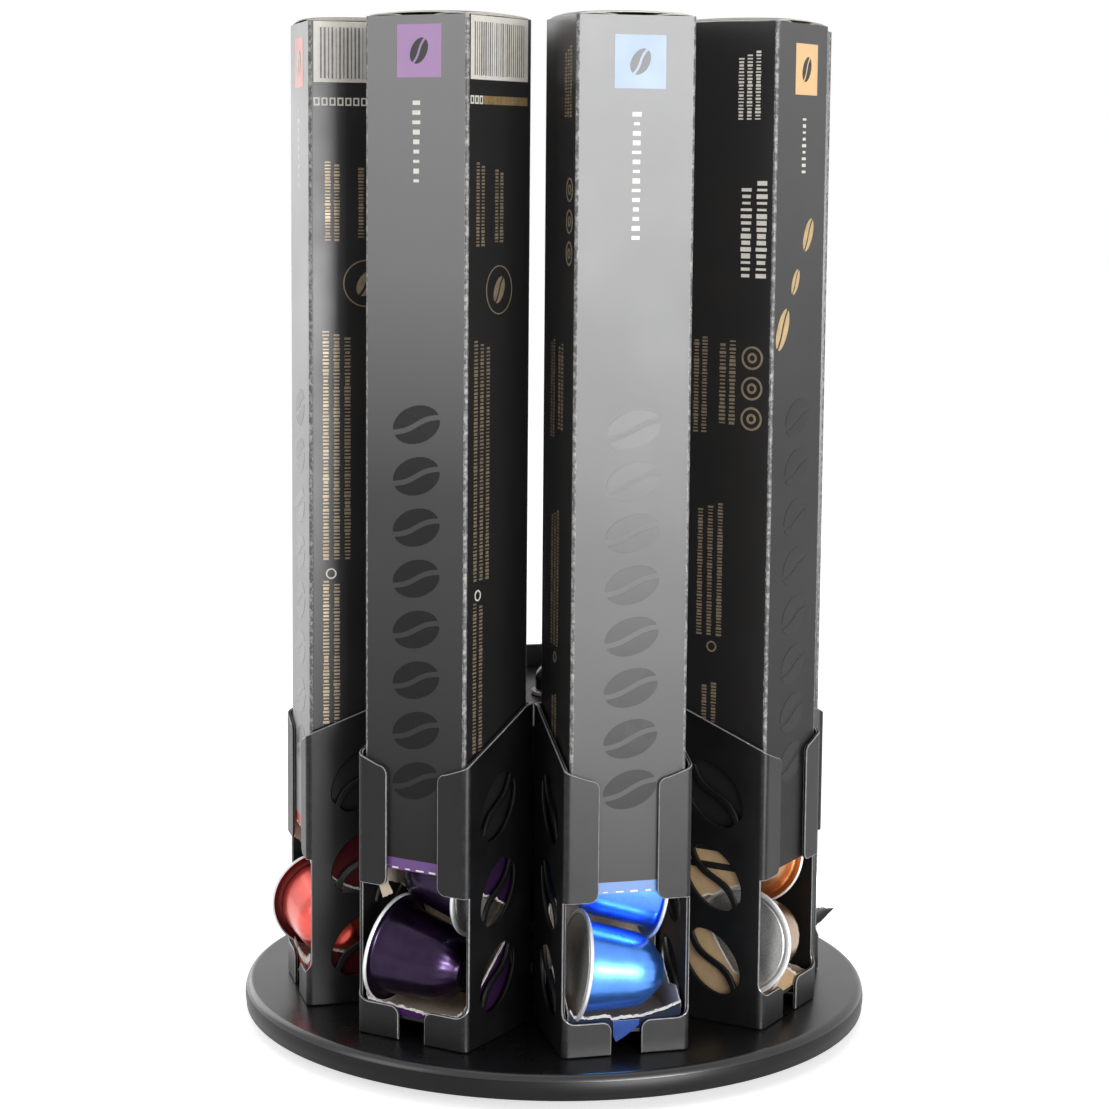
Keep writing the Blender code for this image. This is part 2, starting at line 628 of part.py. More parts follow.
def make_carton_model():
    """A card sleeve with a closed top; its lower front is torn away, and so is its bottom."""
    half = CARTON_SIDE / 2
    shape = bmesh.new()
    bmesh.ops.create_cube(shape, size=1)
    bmesh.ops.transform(shape, matrix=Matrix.Translation((0, 0, CARTON_HEIGHT / 2))
                        @ Matrix.Diagonal((CARTON_SIDE, CARTON_SIDE, CARTON_HEIGHT, 1)), verts=shape.verts)
    lowest = min(shape.faces, key=lambda face: face.calc_center_median().z)
    bmesh.ops.delete(shape, geom=[lowest], context="FACES_ONLY")
    carton = mesh_object("carton_model", shape, parts)
    wall = carton.modifiers.new("card", "SOLIDIFY")
    wall.thickness = CARD
    wall.offset = -1
    wall.use_even_offset = True
    depth_shares = (1.0, 0.79, 0.31, 0.0)
    height_shares = (0.45, 0.72, 0.86, 1.0)
    torn = [(half - CARTON_SIDE_TEAR * depth, CARTON_WINDOW_HEIGHT * height)
            for depth, height in zip(depth_shares, height_shares)]
    outline = ([(half + CUT_OVERRUN, -CUT_OVERRUN), (half - CARTON_SIDE_TEAR, -CUT_OVERRUN)] + torn
               + [(half + CUT_OVERRUN, CARTON_WINDOW_HEIGHT)])
    tear = prism("carton_tear", outline, CARTON_SIDE + 2 * CUT_OVERRUN, depth_turn, cutters)
    boolean(carton, hide_cutter(tear), "DIFFERENCE")
    return settle(carton)


def make_capsule_model():
    """A tapered cup with a domed nose and a lidded rim; the lid is at Z 0 and the nose points up."""
    return settle(turned("capsule_model", capsule_profile, CAPSULE_STEPS, parts))


def lay_capsule(model, name, side, distance, height, origin):
    """A copy of the capsule on its side, rim at the left (-1) or right (+1), drawn about the given origin."""
    lean = -side * math.pi / 2 + CAPSULE_TILT
    pose = (Matrix.Translation((side * capsule_side, -distance, height)) @ Matrix.Rotation(lean, 4, "Y"))
    data = model.data.copy()
    data.transform(Matrix.Translation(-Vector(origin)) @ pose)
    return place(bpy.data.objects.new(name, data), parts)


def own_look(piece, look):
    """Gives a copy that shares its mesh its own material."""
    piece.data = piece.data.copy()
    finish(piece, look)
    return piece


def make_ring():
    bay = make_bay_model()
    screw = make_screw_model()
    carton = make_carton_model()
    capsule = make_capsule_model()
    roll_axis = (0, -lip_middle, lip_top)
    carton_origin = (0, -carton_middle, carton_bottom)
    lower = lay_capsule(capsule, "lower_model", -1, lower_capsule_distance, lower_capsule_height, roll_axis)
    upper = lay_capsule(capsule, "upper_model", 1, carton_middle, upper_capsule_height, carton_origin)
    down = Vector((0, 0, disc_top))
    for number in range(1, BAY_COUNT + 1):
        copy_round(bay, "bay", number, Vector((0, 0, bay_bottom)) - down, turning)
        copy_round(screw, "bay_screw", number, Vector((0, -screw_distance, bay_bottom)) - down, turning)
        if number not in capsule_foils:
            continue
        look = capsule_foils[number]
        own_look(copy_round(carton, "carton", number, Vector(carton_origin) - down, turning),
                 carton_boards[number])
        own_look(copy_round(upper, "upper_capsule", number, Vector(carton_origin) - down, turning), look)
        own_look(copy_round(lower, "lower_capsule", number, Vector(roll_axis) - down, turning), look)
    for model in (bay, screw, carton, capsule, lower, upper):
        bpy.data.objects.remove(model, do_unlink=True)


make_foot()
make_glide_ring()
make_spindle()
make_disc()
make_bush("disc_bush", disc_top, DISC_WEB)
make_hub_cap()
make_bush("cap_bush", hub_cap_top, SHEET)
make_ring()

print("bay front", round(bay_front, 5), "disc radius", round(disc_radius, 5), "disc top", round(disc_top, 5))
print("lip top", round(lip_top, 5), "roll axis distance", round(lip_middle, 5))
print("lower capsule", round(lower_capsule_distance, 5), round(lower_capsule_height, 5))
print("upper capsule", round(carton_middle, 5), round(upper_capsule_height, 5))
print("capsule side", round(capsule_side, 5))
print("carton top", round(carton_bottom + CARTON_HEIGHT, 5))
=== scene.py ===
# %% [markdown]
# # A rotating coffee capsule dispenser
# Eight folded black bays stand in a ring on a glossy turntable. Seven of them hold a tall carton, and
# a capsule has rolled down behind the lower lips of each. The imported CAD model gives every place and
# every joint. This script dresses it: finer shapes, finishes, a floor, lights and a camera.

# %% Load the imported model
import math
import random

import bmesh
import bpy
from mathutils import Matrix, Vector


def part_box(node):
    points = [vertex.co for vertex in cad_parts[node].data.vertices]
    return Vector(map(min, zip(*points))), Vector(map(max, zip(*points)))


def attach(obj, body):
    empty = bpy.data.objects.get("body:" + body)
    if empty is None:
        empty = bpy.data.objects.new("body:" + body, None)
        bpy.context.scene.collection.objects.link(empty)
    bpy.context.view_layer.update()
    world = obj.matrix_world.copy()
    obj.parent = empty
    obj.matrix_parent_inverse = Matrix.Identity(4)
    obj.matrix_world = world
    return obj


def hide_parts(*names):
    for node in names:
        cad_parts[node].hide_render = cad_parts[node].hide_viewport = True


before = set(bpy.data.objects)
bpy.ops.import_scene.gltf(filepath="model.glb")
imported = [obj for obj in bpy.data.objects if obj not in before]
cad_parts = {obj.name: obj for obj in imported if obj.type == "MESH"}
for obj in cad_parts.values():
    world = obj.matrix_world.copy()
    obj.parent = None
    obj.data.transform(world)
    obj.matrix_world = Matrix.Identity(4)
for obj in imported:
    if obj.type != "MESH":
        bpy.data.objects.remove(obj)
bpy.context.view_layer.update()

# %% [markdown]
# ## Sizes
# The solids stay the reference, so the sizes that a finer shape needs are written here once, in
# metres. A bay is always drawn facing -Y: X runs across it, and the distance from the spindle is -Y.

# %% Sizes that the pieces share
BAYS = 8
LOADED = [number for number in range(1, BAYS + 1) if f"carton_{number}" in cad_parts]
SHEET = 0.0012
DISC_TOP = 0.0124
BAY_BOTTOM = 0.0127
BAY_FRONT = 0.09129
BAY_BACK = 0.04999
BAY_HALF = 0.0211
LIP_MIDDLE = BAY_FRONT - SHEET / 2
CARTON_BACK, CARTON_MIDDLE, CARTON_FRONT = 0.05169, 0.07069, 0.08969
CARTON_HALF = 0.0190
CARTON_BOTTOM = 0.0208
CARD = 0.0004
HUB_CAP_TOP = 0.1113
print("loaded bays", LOADED)


def to_bay(number):
    """The turn that carries a shape drawn facing -Y to its bay."""
    return Matrix.Rotation(2 * math.pi * (number - 1) / BAYS, 4, "Z")


# %% [markdown]
# ## Shader helpers
# Each finish is a node tree. Three effects come back in many of them, so they are node groups: a fine
# grain for bumps, a slow drift for roughness, and a mask of rubbed edges. They read Object coordinates
# or an attribute of the mesh, so a pattern stays where it is when the part moves.

# %% Node helpers
def set_inputs(node, values):
    for name, value in values.items():
        node.inputs[name.replace("_", " ")].default_value = value


def add_node(tree, kind, **values):
    """Adds a node and sets its inputs by name; names that start with a small letter are settings."""
    made = tree.nodes.new(kind)
    for name, value in values.items():
        if name[0].islower():
            setattr(made, name, value)
    set_inputs(made, {name: value for name, value in values.items() if not name[0].islower()})
    return made


def wire(tree, *links):
    """Each link is (node, its output, node, its input)."""
    for source, output, target, into in links:
        tree.links.new(source.outputs[output], target.inputs[into])


def new_group(kind, name, inputs, outputs):
    """A node group. inputs are {name: (socket kind, value)}, outputs are {name: socket kind}."""
    tree = bpy.data.node_groups.new(name, kind)
    for label, (socket, value) in inputs.items():
        made = tree.interface.new_socket(label, in_out="INPUT", socket_type=f"NodeSocket{socket}")
        if value is not None:
            made.default_value = value
    for label, socket in outputs.items():
        tree.interface.new_socket(label, in_out="OUTPUT", socket_type=f"NodeSocket{socket}")
    return tree, tree.nodes.new("NodeGroupInput"), tree.nodes.new("NodeGroupOutput")


def object_noise(tree, given, **values):
    """Noise in Object coordinates, at the scale that its group is given."""
    where = add_node(tree, "ShaderNodeTexCoord")
    noise = add_node(tree, "ShaderNodeTexNoise", **values)
    wire(tree, (where, "Object", noise, "Vector"), (given, "Scale", noise, "Scale"))
    return noise


# %% Fine grain: a height for a bump
grain_group, given, result = new_group("ShaderNodeTree", "fine grain", {"Scale": ("Float", 900.0)},
                                       {"Height": "Float"})
speckle = object_noise(grain_group, given, Detail=3.0)
wire(grain_group, (speckle, "Fac", result, "Height"))

# %% Slow drift: handling marks that change the gloss a little
drift_group, given, result = new_group("ShaderNodeTree", "slow drift", {
    "Scale": ("Float", 40.0), "Low": ("Float", 0.3), "High": ("Float", 0.4)}, {"Value": "Float"})
cloud = object_noise(drift_group, given, Detail=4.0, Roughness=0.6)
spread = add_node(drift_group, "ShaderNodeMapRange", From_Min=0.3, From_Max=0.7)
wire(drift_group, (cloud, "Fac", spread, "Value"), (given, "Low", spread, "To Min"),
     (given, "High", spread, "To Max"), (spread, "Result", result, "Value"))

# %% Rubbed edges: a mask from the mesh's own worn attribute, broken up by noise
wear_group, given, result = new_group("ShaderNodeTree", "rubbed edges", {"Scale": ("Float", 500.0)},
                                      {"Mask": "Float"})
flecks = object_noise(wear_group, given, Detail=5.0, Roughness=0.7)
painted = add_node(wear_group, "ShaderNodeAttribute", attribute_name="worn")
rubbed = add_node(wear_group, "ShaderNodeMath", operation="MULTIPLY")
edge = add_node(wear_group, "ShaderNodeMapRange", From_Min=0.42, From_Max=0.58)
wire(wear_group, (flecks, "Fac", rubbed, 0), (painted, "Fac", rubbed, 1), (rubbed, 0, edge, "Value"),
     (edge, "Result", result, "Mask"))
print("groups", [group.name for group in bpy.data.node_groups])


# %% One finish: a Principled shader whose gloss, bump and colour change over the surface
# The colour sockets of a Mix node go by number, because its other kinds share their names.
MIX_A, MIX_B, MIX_RESULT = 6, 7, 2


def place_group(tree, group, **values):
    return add_node(tree, "ShaderNodeGroup", node_tree=group, **values)


def finish(name, colour, second, gloss, grain, worn=None, least=0.0, **settings):
    """second is (colour, noise scale), mixed in from the least share up; worn is (colour, noise scale) for
    rubbed places; gloss is (low, high, noise scale); grain is (noise scale, strength, depth)."""
    made = bpy.data.materials.new(name)
    made.use_nodes = True
    tree = made.node_tree
    shader = tree.nodes["Principled BSDF"]
    set_inputs(shader, {"Base Color": (*colour, 1.0), **settings})
    low, high, gloss_scale = gloss
    grain_scale, strength, depth = grain
    drift = place_group(tree, drift_group, Scale=gloss_scale, Low=low, High=high)
    speckle = place_group(tree, grain_group, Scale=grain_scale)
    bump = add_node(tree, "ShaderNodeBump", Strength=strength, Distance=depth)
    wire(tree, (drift, "Value", shader, "Roughness"), (speckle, "Height", bump, "Height"),
         (bump, "Normal", shader, "Normal"))
    layers = []
    if second:
        layers.append((second[0], place_group(tree, drift_group, Scale=second[1], Low=least, High=1.0)))
    if worn:
        layers.append((worn[0], place_group(tree, wear_group, Scale=worn[1])))
    below = None
    for other, share in layers:
        mix = add_node(tree, "ShaderNodeMix", data_type="RGBA")
        mix.inputs[MIX_A].default_value = (*colour, 1.0)
        mix.inputs[MIX_B].default_value = (*other, 1.0)
        wire(tree, (share, 0, mix, 0))
        if below:
            wire(tree, (below, MIX_RESULT, mix, MIX_A))
        below = mix
    wire(tree, (below, MIX_RESULT, shader, "Base Color"))
    return made


# %% [markdown]
# ## Metal, plastic and rubber
# The bays and the hub cap are sheet steel with a satin black lacquer. The turntable is lacquered
# smoother, so it mirrors the bays. Below them are zinc plated steel, nylon and rubber.

# %% Finishes of the turntable
BLACK, BLACK_PATCH = (0.004, 0.004, 0.0043), (0.007, 0.007, 0.0073)
black_lacquer = finish("black_lacquer", BLACK, (BLACK_PATCH, 120.0), (0.36, 0.42, 60.0),
                       (1400.0, 0.08, 0.00003), worn=((0.016, 0.016, 0.017), 400.0), Specular_IOR_Level=0.26)
# Light grey on the chamfers of a bay's outer cut edges: a painted highlight where the edges catch the light.
edge_highlight = finish("edge_highlight", (0.34, 0.34, 0.345), ((0.20, 0.20, 0.205), 500.0), (0.24, 0.32, 90.0),
                      (1400.0, 0.10, 0.00003), Specular_IOR_Level=0.6)
black_gloss = finish("black_gloss", BLACK, ((0.006, 0.006, 0.0063), 60.0), (0.25, 0.32, 30.0),
                     (1100.0, 0.04, 0.00003), Specular_IOR_Level=0.60)
rim_lacquer = finish("rim_lacquer", BLACK, (BLACK_PATCH, 80.0), (0.36, 0.44, 30.0), (1300.0, 0.08, 0.00003),
                     Specular_IOR_Level=0.20)
zinc_plate = finish("zinc_plate", (0.52, 0.53, 0.55), ((0.44, 0.46, 0.50), 220.0), (0.28, 0.42, 90.0),
                    (1500.0, 0.12, 0.00004), Metallic=1.0)
black_steel = finish("black_steel", (0.030, 0.030, 0.031), ((0.045, 0.045, 0.048), 260.0),
                     (0.28, 0.40, 120.0), (1500.0, 0.10, 0.00004), Metallic=0.7)
nylon = finish("nylon", (0.72, 0.70, 0.64), ((0.66, 0.63, 0.56), 90.0), (0.42, 0.55, 140.0),
               (1200.0, 0.10, 0.00004))
rubber = finish("rubber", (0.020, 0.020, 0.020), ((0.030, 0.030, 0.029), 300.0), (0.70, 0.85, 200.0),
                (2200.0, 0.25, 0.00008))

# %% [markdown]
# ## Foil and card
# A capsule is drawn from coloured aluminium foil, with a bare rolled rim and a bare lid. A carton is
# grey board: printed outside, brown inside, and pale where it is cut, folded or torn.

# %% Finishes of the capsules
FOILS = {1: (0.075, 0.26, 0.82), 2: (0.26, 0.125, 0.035), 3: (0.60, 0.61, 0.63), 4: (0.020, 0.16, 0.06),
         6: (0.60, 0.52, 0.40), 7: (0.66, 0.070, 0.05), 8: (0.016, 0.006, 0.028)}
FOIL_GRAIN = (1800.0, 0.08, 0.00004)


def foil_finish(name, colour, patch, coat=0.6):
    return finish(name, colour, (patch, 180.0), (0.26, 0.36, 160.0), FOIL_GRAIN, Metallic=0.88,
                  Coat_Weight=coat, Coat_Roughness=0.16)


foils = {number: foil_finish(f"foil_{number}", colour, [min(1.0, part * 1.2 + 0.005) for part in colour],
                             0.15 if number == 8 else 0.6)
         for number, colour in FOILS.items() if number in LOADED}
orange_foil = foil_finish("foil_2_upper", (0.48, 0.19, 0.06), (0.56, 0.25, 0.08))
# The flat flange of capsule 7 is a darker copy of its red foil: painted shade.
shaded_flange = finish("flange_7_shaded", (0.096, 0.009, 0.008), ((0.14, 0.013, 0.012), 240.0), (0.30, 0.42, 200.0),
                     FOIL_GRAIN, Metallic=0.6, Specular_IOR_Level=0.3)
bare_rim = finish("bare_rim", (0.90, 0.90, 0.91), ((0.80, 0.80, 0.82), 260.0), (0.32, 0.42, 200.0),
                  (1500.0, 0.08, 0.00003), Metallic=0.45)
bare_lid = finish("bare_lid", (0.62, 0.62, 0.61), ((0.40, 0.40, 0.40), 1300.0), (0.30, 0.45, 300.0),
                  (2200.0, 0.60, 0.00010), Metallic=0.75)
print("foils", sorted(foils))


# %% Printed card with painted light and shade: a colour that fades down the carton, over a fine board grain
PRINT_GRAIN, RUBBED_PRINT = (1500.0, 0.12, 0.00005), ((0.52, 0.50, 0.48), 900.0)


def shaded_print(name, stops, gloss, specular):
    """stops are (height in metres, colour); the colour fades from one to the next, print with painted light
    and shade.
    """
    made = finish(name, stops[0][1], None, gloss, PRINT_GRAIN, worn=RUBBED_PRINT, Specular_IOR_Level=specular)
    tree = made.node_tree
    low, high = stops[0][0], stops[-1][0]
    where = add_node(tree, "ShaderNodeTexCoord")
    split = add_node(tree, "ShaderNodeSeparateXYZ")
    height = add_node(tree, "ShaderNodeMapRange", From_Min=low, From_Max=high)
    ramp = add_node(tree, "ShaderNodeValToRGB")
    mix = next(node for node in tree.nodes if node.bl_idname == "ShaderNodeMix")
    bar = ramp.color_ramp
    while len(bar.elements) < len(stops):
        bar.elements.new(0.5)
    for stop, (level, colour) in zip(bar.elements, stops):
        stop.position = (level - low) / (high - low)
        stop.color = (*colour, 1.0)
    wire(tree, (where, "Object", split, "Vector"), (split, "Z", height, "Value"),
         (height, "Result", ramp, "Fac"), (ramp, "Color", mix, MIX_A))
    return made


# %% The greys of the cartons, with their painted light and shade, and plain card
# Each carton's greys are (height in metres, grey), from the bottom of its print up.
# The greys are a grey print with painted light and shade: a front facing the lamps is lighter, one turned
# away darker, each darker lower down.
CARTON_GREYS_AND_LIGHT = {1: ((0.07, 0.075), (0.20, 0.20), (0.34, 0.42)),
                2: ((0.07, 0.006), (0.20, 0.030), (0.34, 0.10)),
                7: ((0.07, 0.34), (0.20, 0.42), (0.34, 0.38)),
                8: ((0.07, 0.014), (0.19, 0.07), (0.26, 0.20), (0.34, 0.26))}
# Plain cartons also fade darker towards the bottom: painted shade.
PLAIN_GREYS_AND_SHADE = ((0.07, 0.10), (0.20, 0.20), (0.34, 0.30))
SPOT_SHARES = {**dict.fromkeys(LOADED, 0.56), 8: 0.28}


def lit_carton_greys(number, share=1.0, blue=1.0):
    """The greys of a carton's front with their painted light, from its foot up, times a share; their blue is
    times blue too.
    """
    return [(level, (grey * share, grey * share, grey * share * blue))
            for level, grey in CARTON_GREYS_AND_LIGHT.get(number, PLAIN_GREYS_AND_SHADE)]


# Each front's print carries the painted light and shade of its greys.
fronts = {number: shaded_print(f"front_print_and_light_{number}", lit_carton_greys(number, blue=1.01),
                               (0.38, 0.46, 25.0), 0.14)
          for number in LOADED}
# The spot gloss beans are a darker share of the front's greys, painted light and shade included.
spots = {number: shaded_print(f"spot_gloss_with_shade_{number}",
                              lit_carton_greys(number, SPOT_SHARES[number]), (0.24, 0.30, 25.0), 0.13)
         for number in LOADED}
# The sides' print grows darker towards the bottom: painted shade.
dark_side = shaded_print("dark_side_print_shaded", [(0.07, (0.014, 0.013, 0.013)), (0.34, (0.026, 0.025, 0.025))],
                         (0.28, 0.36, 30.0), 0.30)
kraft = finish("kraft_board", (0.50, 0.40, 0.30), ((0.64, 0.54, 0.43), 700.0), (0.80, 0.95, 80.0),
               (1600.0, 0.40, 0.00008))
cut_card = finish("cut_card", (0.76, 0.74, 0.70), ((0.62, 0.58, 0.52), 900.0), (0.75, 0.90, 120.0),
                  (2200.0, 0.35, 0.00006))
fold_card = finish("rubbed_fold", (0.10, 0.10, 0.10), ((0.48, 0.47, 0.46), 620.0), (0.40, 0.55, 90.0),
                   (1800.0, 0.20, 0.00005), least=-0.5, Specular_IOR_Level=0.3)

# %% Inks, and the coloured print of each carton
INK_GRAIN, MATT_INK = (1500.0, 0.10, 0.00003), (0.45, 0.55, 200.0)
cream_ink = finish("cream_ink", (0.86, 0.83, 0.76), ((0.76, 0.73, 0.66), 500.0), MATT_INK, INK_GRAIN)
bar_ink = finish("bar_ink", (0.24, 0.24, 0.24), ((0.14, 0.14, 0.14), 500.0), MATT_INK, INK_GRAIN)
bronze_ink = finish("bronze_ink", (0.40, 0.31, 0.20), ((0.26, 0.21, 0.15), 500.0), (0.35, 0.50, 200.0),
                    INK_GRAIN, Metallic=0.4)
gold_ink = finish("gold_ink", (0.72, 0.50, 0.24), ((0.52, 0.36, 0.17), 300.0), (0.25, 0.40, 120.0),
                  (1500.0, 0.12, 0.00003), Metallic=0.6)
LABELS = {1: (0.315, 0.435, 0.70), 2: (0.95, 0.62, 0.30), 3: (0.62, 0.63, 0.66), 4: (0.22, 0.50, 0.30),
          6: (0.74, 0.66, 0.52), 7: (0.74, 0.30, 0.26), 8: (0.44, 0.27, 0.50)}
BANDS = {1: (0.135, 0.30, 0.70), 2: (0.58, 0.38, 0.19), 3: (0.45, 0.46, 0.48), 4: (0.06, 0.30, 0.12),
         6: (0.60, 0.50, 0.34), 7: (0.55, 0.08, 0.06), 8: (0.13, 0.05, 0.22)}
# The feet are the bands' colours, darkened for the first, seventh and eighth cartons: painted shade low in
# the bays.
SHADED_FEET = {**BANDS, 1: (0.030, 0.090, 0.380), 2: (0.58, 0.40, 0.22), 7: (0.45, 0.045, 0.035),
        8: (0.055, 0.014, 0.105)}
# The side feet are darker still: painted shade inside the bays, where they show through the beans.
SIDE_SHADED_FEET = {**dict.fromkeys(LOADED, (0.02, 0.02, 0.02)), 1: (0.008, 0.016, 0.045), 2: (0.58, 0.40, 0.22),
             7: (0.085, 0.008, 0.012), 8: (0.026, 0.007, 0.042)}


def prints(kind, colours, share, scale, gloss, **settings):
    """A print for each loaded carton, in its own colour, with patches of that colour times the share."""
    return {number: finish(f"{kind}_{number}", colours[number],
                           ([part * share for part in colours[number]], scale), gloss, INK_GRAIN, **settings)
            for number in LOADED}


labels = prints("label", LABELS, 0.93, 90.0, (0.40, 0.50, 60.0))
bands = prints("band", BANDS, 0.9, 120.0, (0.35, 0.45, 60.0))
shaded_feet = prints("shaded_foot_print", SHADED_FEET, 0.8, 120.0, (0.55, 0.65, 60.0), Specular_IOR_Level=0.08)
side_shaded_feet = prints("side_shaded_foot_print", SIDE_SHADED_FEET, 0.8, 120.0, (0.55, 0.65, 60.0), Specular_IOR_Level=0.08)
print("finishes", len(bpy.data.materials))


# %% [markdown]
# ## From a shape to a piece
# A finished piece's object sits at the origin and keeps its place in its mesh, as the CAD nodes do.
# These helpers make the object, smooth the round faces, hide the solids that the piece stands for
# and tie it to its body.

# %% Meshes and objects
def as_mesh(shape, name):
    """Turns a bmesh into a mesh."""
    data = bpy.data.meshes.new(name)
    shape.to_mesh(data)
    shape.free()
    return data


def in_scene(name, data):
    made = bpy.data.objects.new(name, data)
    bpy.context.scene.collection.objects.link(made)
    return made


def worked_out(carrier):
    """The plain mesh that an object's curve or modifiers give; the object is removed."""
    bpy.context.view_layer.update()
    made = bpy.data.meshes.new_from_object(carrier.evaluated_get(bpy.context.evaluated_depsgraph_get()))
    bpy.data.objects.remove(carrier, do_unlink=True)
    return made


def add_mesh(shape, data, index=None, matrix=Matrix.Identity(4)):
    """Copies a mesh into a shape, moved by the matrix, with one material index if it is given."""
    old_faces, old_verts = len(shape.faces), len(shape.verts)
    shape.from_mesh(data)
    shape.verts.ensure_lookup_table()
    shape.faces.ensure_lookup_table()
    bmesh.ops.transform(shape, matrix=matrix, verts=shape.verts[old_verts:])
    if index is not None:
        for face in shape.faces[old_faces:]:
            face.material_index = index
    return shape


# %% Hand a finished shape over to the frame
pieces_made = []


def hand_over(name, shape, looks, body, stands_for=(), angle=30.0):
    """Turns a bmesh into a piece; faces carry their material index."""
    bmesh.ops.remove_doubles(shape, verts=shape.verts, dist=1e-7)
    data = as_mesh(shape, name)
    for look in looks:
        data.materials.append(look)
    data.shade_smooth()
    data.set_sharp_from_angle(angle=math.radians(angle))
    piece = in_scene(name, data)
    if stands_for:
        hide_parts(*stands_for)
    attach(piece, body)
    pieces_made.append(name)
    print(name, "faces", len(data.polygons))
    return piece


# %% [markdown]
# ## Turned pieces
# The disc, the hub's nut, the bushes and the capsules are all round. A lathe sweeps a profile of
# (radius, height) round the spindle's axis. A point on the axis becomes one vertex, so poles are closed.

# %% Points on arcs, and the lathe
ON_AXIS = 1e-9


def full_turn(steps):
    return [2 * math.pi * step / steps for step in range(steps)]


def quarter_turn(steps):
    return [math.pi / 2 * step / steps for step in range(steps + 1)]


def on_circle(radius, turns, centre=(0, 0)):
    return [(centre[0] + radius * math.cos(turn), centre[1] + radius * math.sin(turn)) for turn in turns]


def corner_arc(centre, radius, start, end, steps):
    """Points on an arc; angles in degrees, anticlockwise from the first axis."""
    turns = [math.radians(start + (end - start) * step / steps) for step in range(steps + 1)]
    return on_circle(radius, turns, centre)


def lathe(profile, steps, looks=None):
    """Sweeps a closed profile round Z. looks gives a material index for each span of the profile."""
    shape = bmesh.new()
    rings = []
    for radius, height in profile:
        if radius < ON_AXIS:
            rings.append([shape.verts.new((0, 0, height))] * steps)
        else:
            rings.append([shape.verts.new((x, y, height)) for x, y in on_circle(radius, full_turn(steps))])
    ends_on_axis = profile[0][0] < ON_AXIS and profile[-1][0] < ON_AXIS
    for span in range(len(rings) - 1 if ends_on_axis else len(rings)):
        upper, lower = rings[span], rings[(span + 1) % len(rings)]
        for step in range(steps):
            after = (step + 1) % steps
            corners = list(dict.fromkeys([upper[step], lower[step], lower[after], upper[after]]))
            if len(corners) > 2:
                shape.faces.new(corners).material_index = looks[span] if looks else 0
    bmesh.ops.recalc_face_normals(shape, faces=shape.faces)
    return shape


# %% The turntable: a flat disc, hollow below, with a full, rounded rim
DISC_RADIUS, DISC_BOTTOM, DISC_WEB, BUSH_HOLE = 0.10799, 0.0040, 0.0040, 0.0072
RIM_SWELL, RIM_MIDDLE, RIM_TURN, RIM_EDGE, EDGE_STEPS = 0.0090, 0.0078, 14, 0.0028, 6
RIM_FOOT, RIM_FILLET = 0.0006, 0.0015
rim_end = DISC_RADIUS - RIM_SWELL * (1 - math.cos(math.radians(RIM_TURN)))
disc_profile = (
    [(BUSH_HOLE, DISC_TOP)]
    + corner_arc((rim_end - RIM_EDGE, DISC_TOP - RIM_EDGE), RIM_EDGE, 90, RIM_TURN, EDGE_STEPS)
    + corner_arc((DISC_RADIUS - RIM_SWELL, RIM_MIDDLE), RIM_SWELL, RIM_TURN, -RIM_TURN, 12)
    + corner_arc((rim_end - RIM_FOOT, DISC_BOTTOM + RIM_FOOT), RIM_FOOT, -RIM_TURN, -90, 5)
    + corner_arc((DISC_RADIUS - 0.0074, DISC_BOTTOM + RIM_FOOT), RIM_FOOT, -90, -180, 4)
    + corner_arc((DISC_RADIUS - 0.0095, DISC_TOP - DISC_WEB - RIM_FILLET), RIM_FILLET, 0, 90, 5)
    + [(BUSH_HOLE, DISC_TOP - DISC_WEB)])
disc_looks = [0 if span <= EDGE_STEPS else 1 for span in range(len(disc_profile))]
hand_over("turntable", lathe(disc_profile, 256, disc_looks), [black_gloss, rim_lacquer], "turntable",
          ["turntable_disc"])

# %% Small turned pieces on the spindle and under the disc
BORE, BUSH_OUTSIDE, BUSH_FLANGE, NUT_RADIUS, PLAY = 0.0043, 0.0068, 0.0088, 0.0075, 0.0003


def bush_profile(seat, thickness):
    """A bush whose flange stands a little above its seat, and whose sleeve goes down through the sheet."""
    low = seat + PLAY
    return ([(BORE, low + 0.0012)] + corner_arc((BUSH_FLANGE - 0.0003, low + 0.0009), 0.0003, 90, 0, 4)
            + [(BUSH_FLANGE, low), (BUSH_OUTSIDE, low), (BUSH_OUTSIDE, seat - thickness),
               (BORE, seat - thickness)])


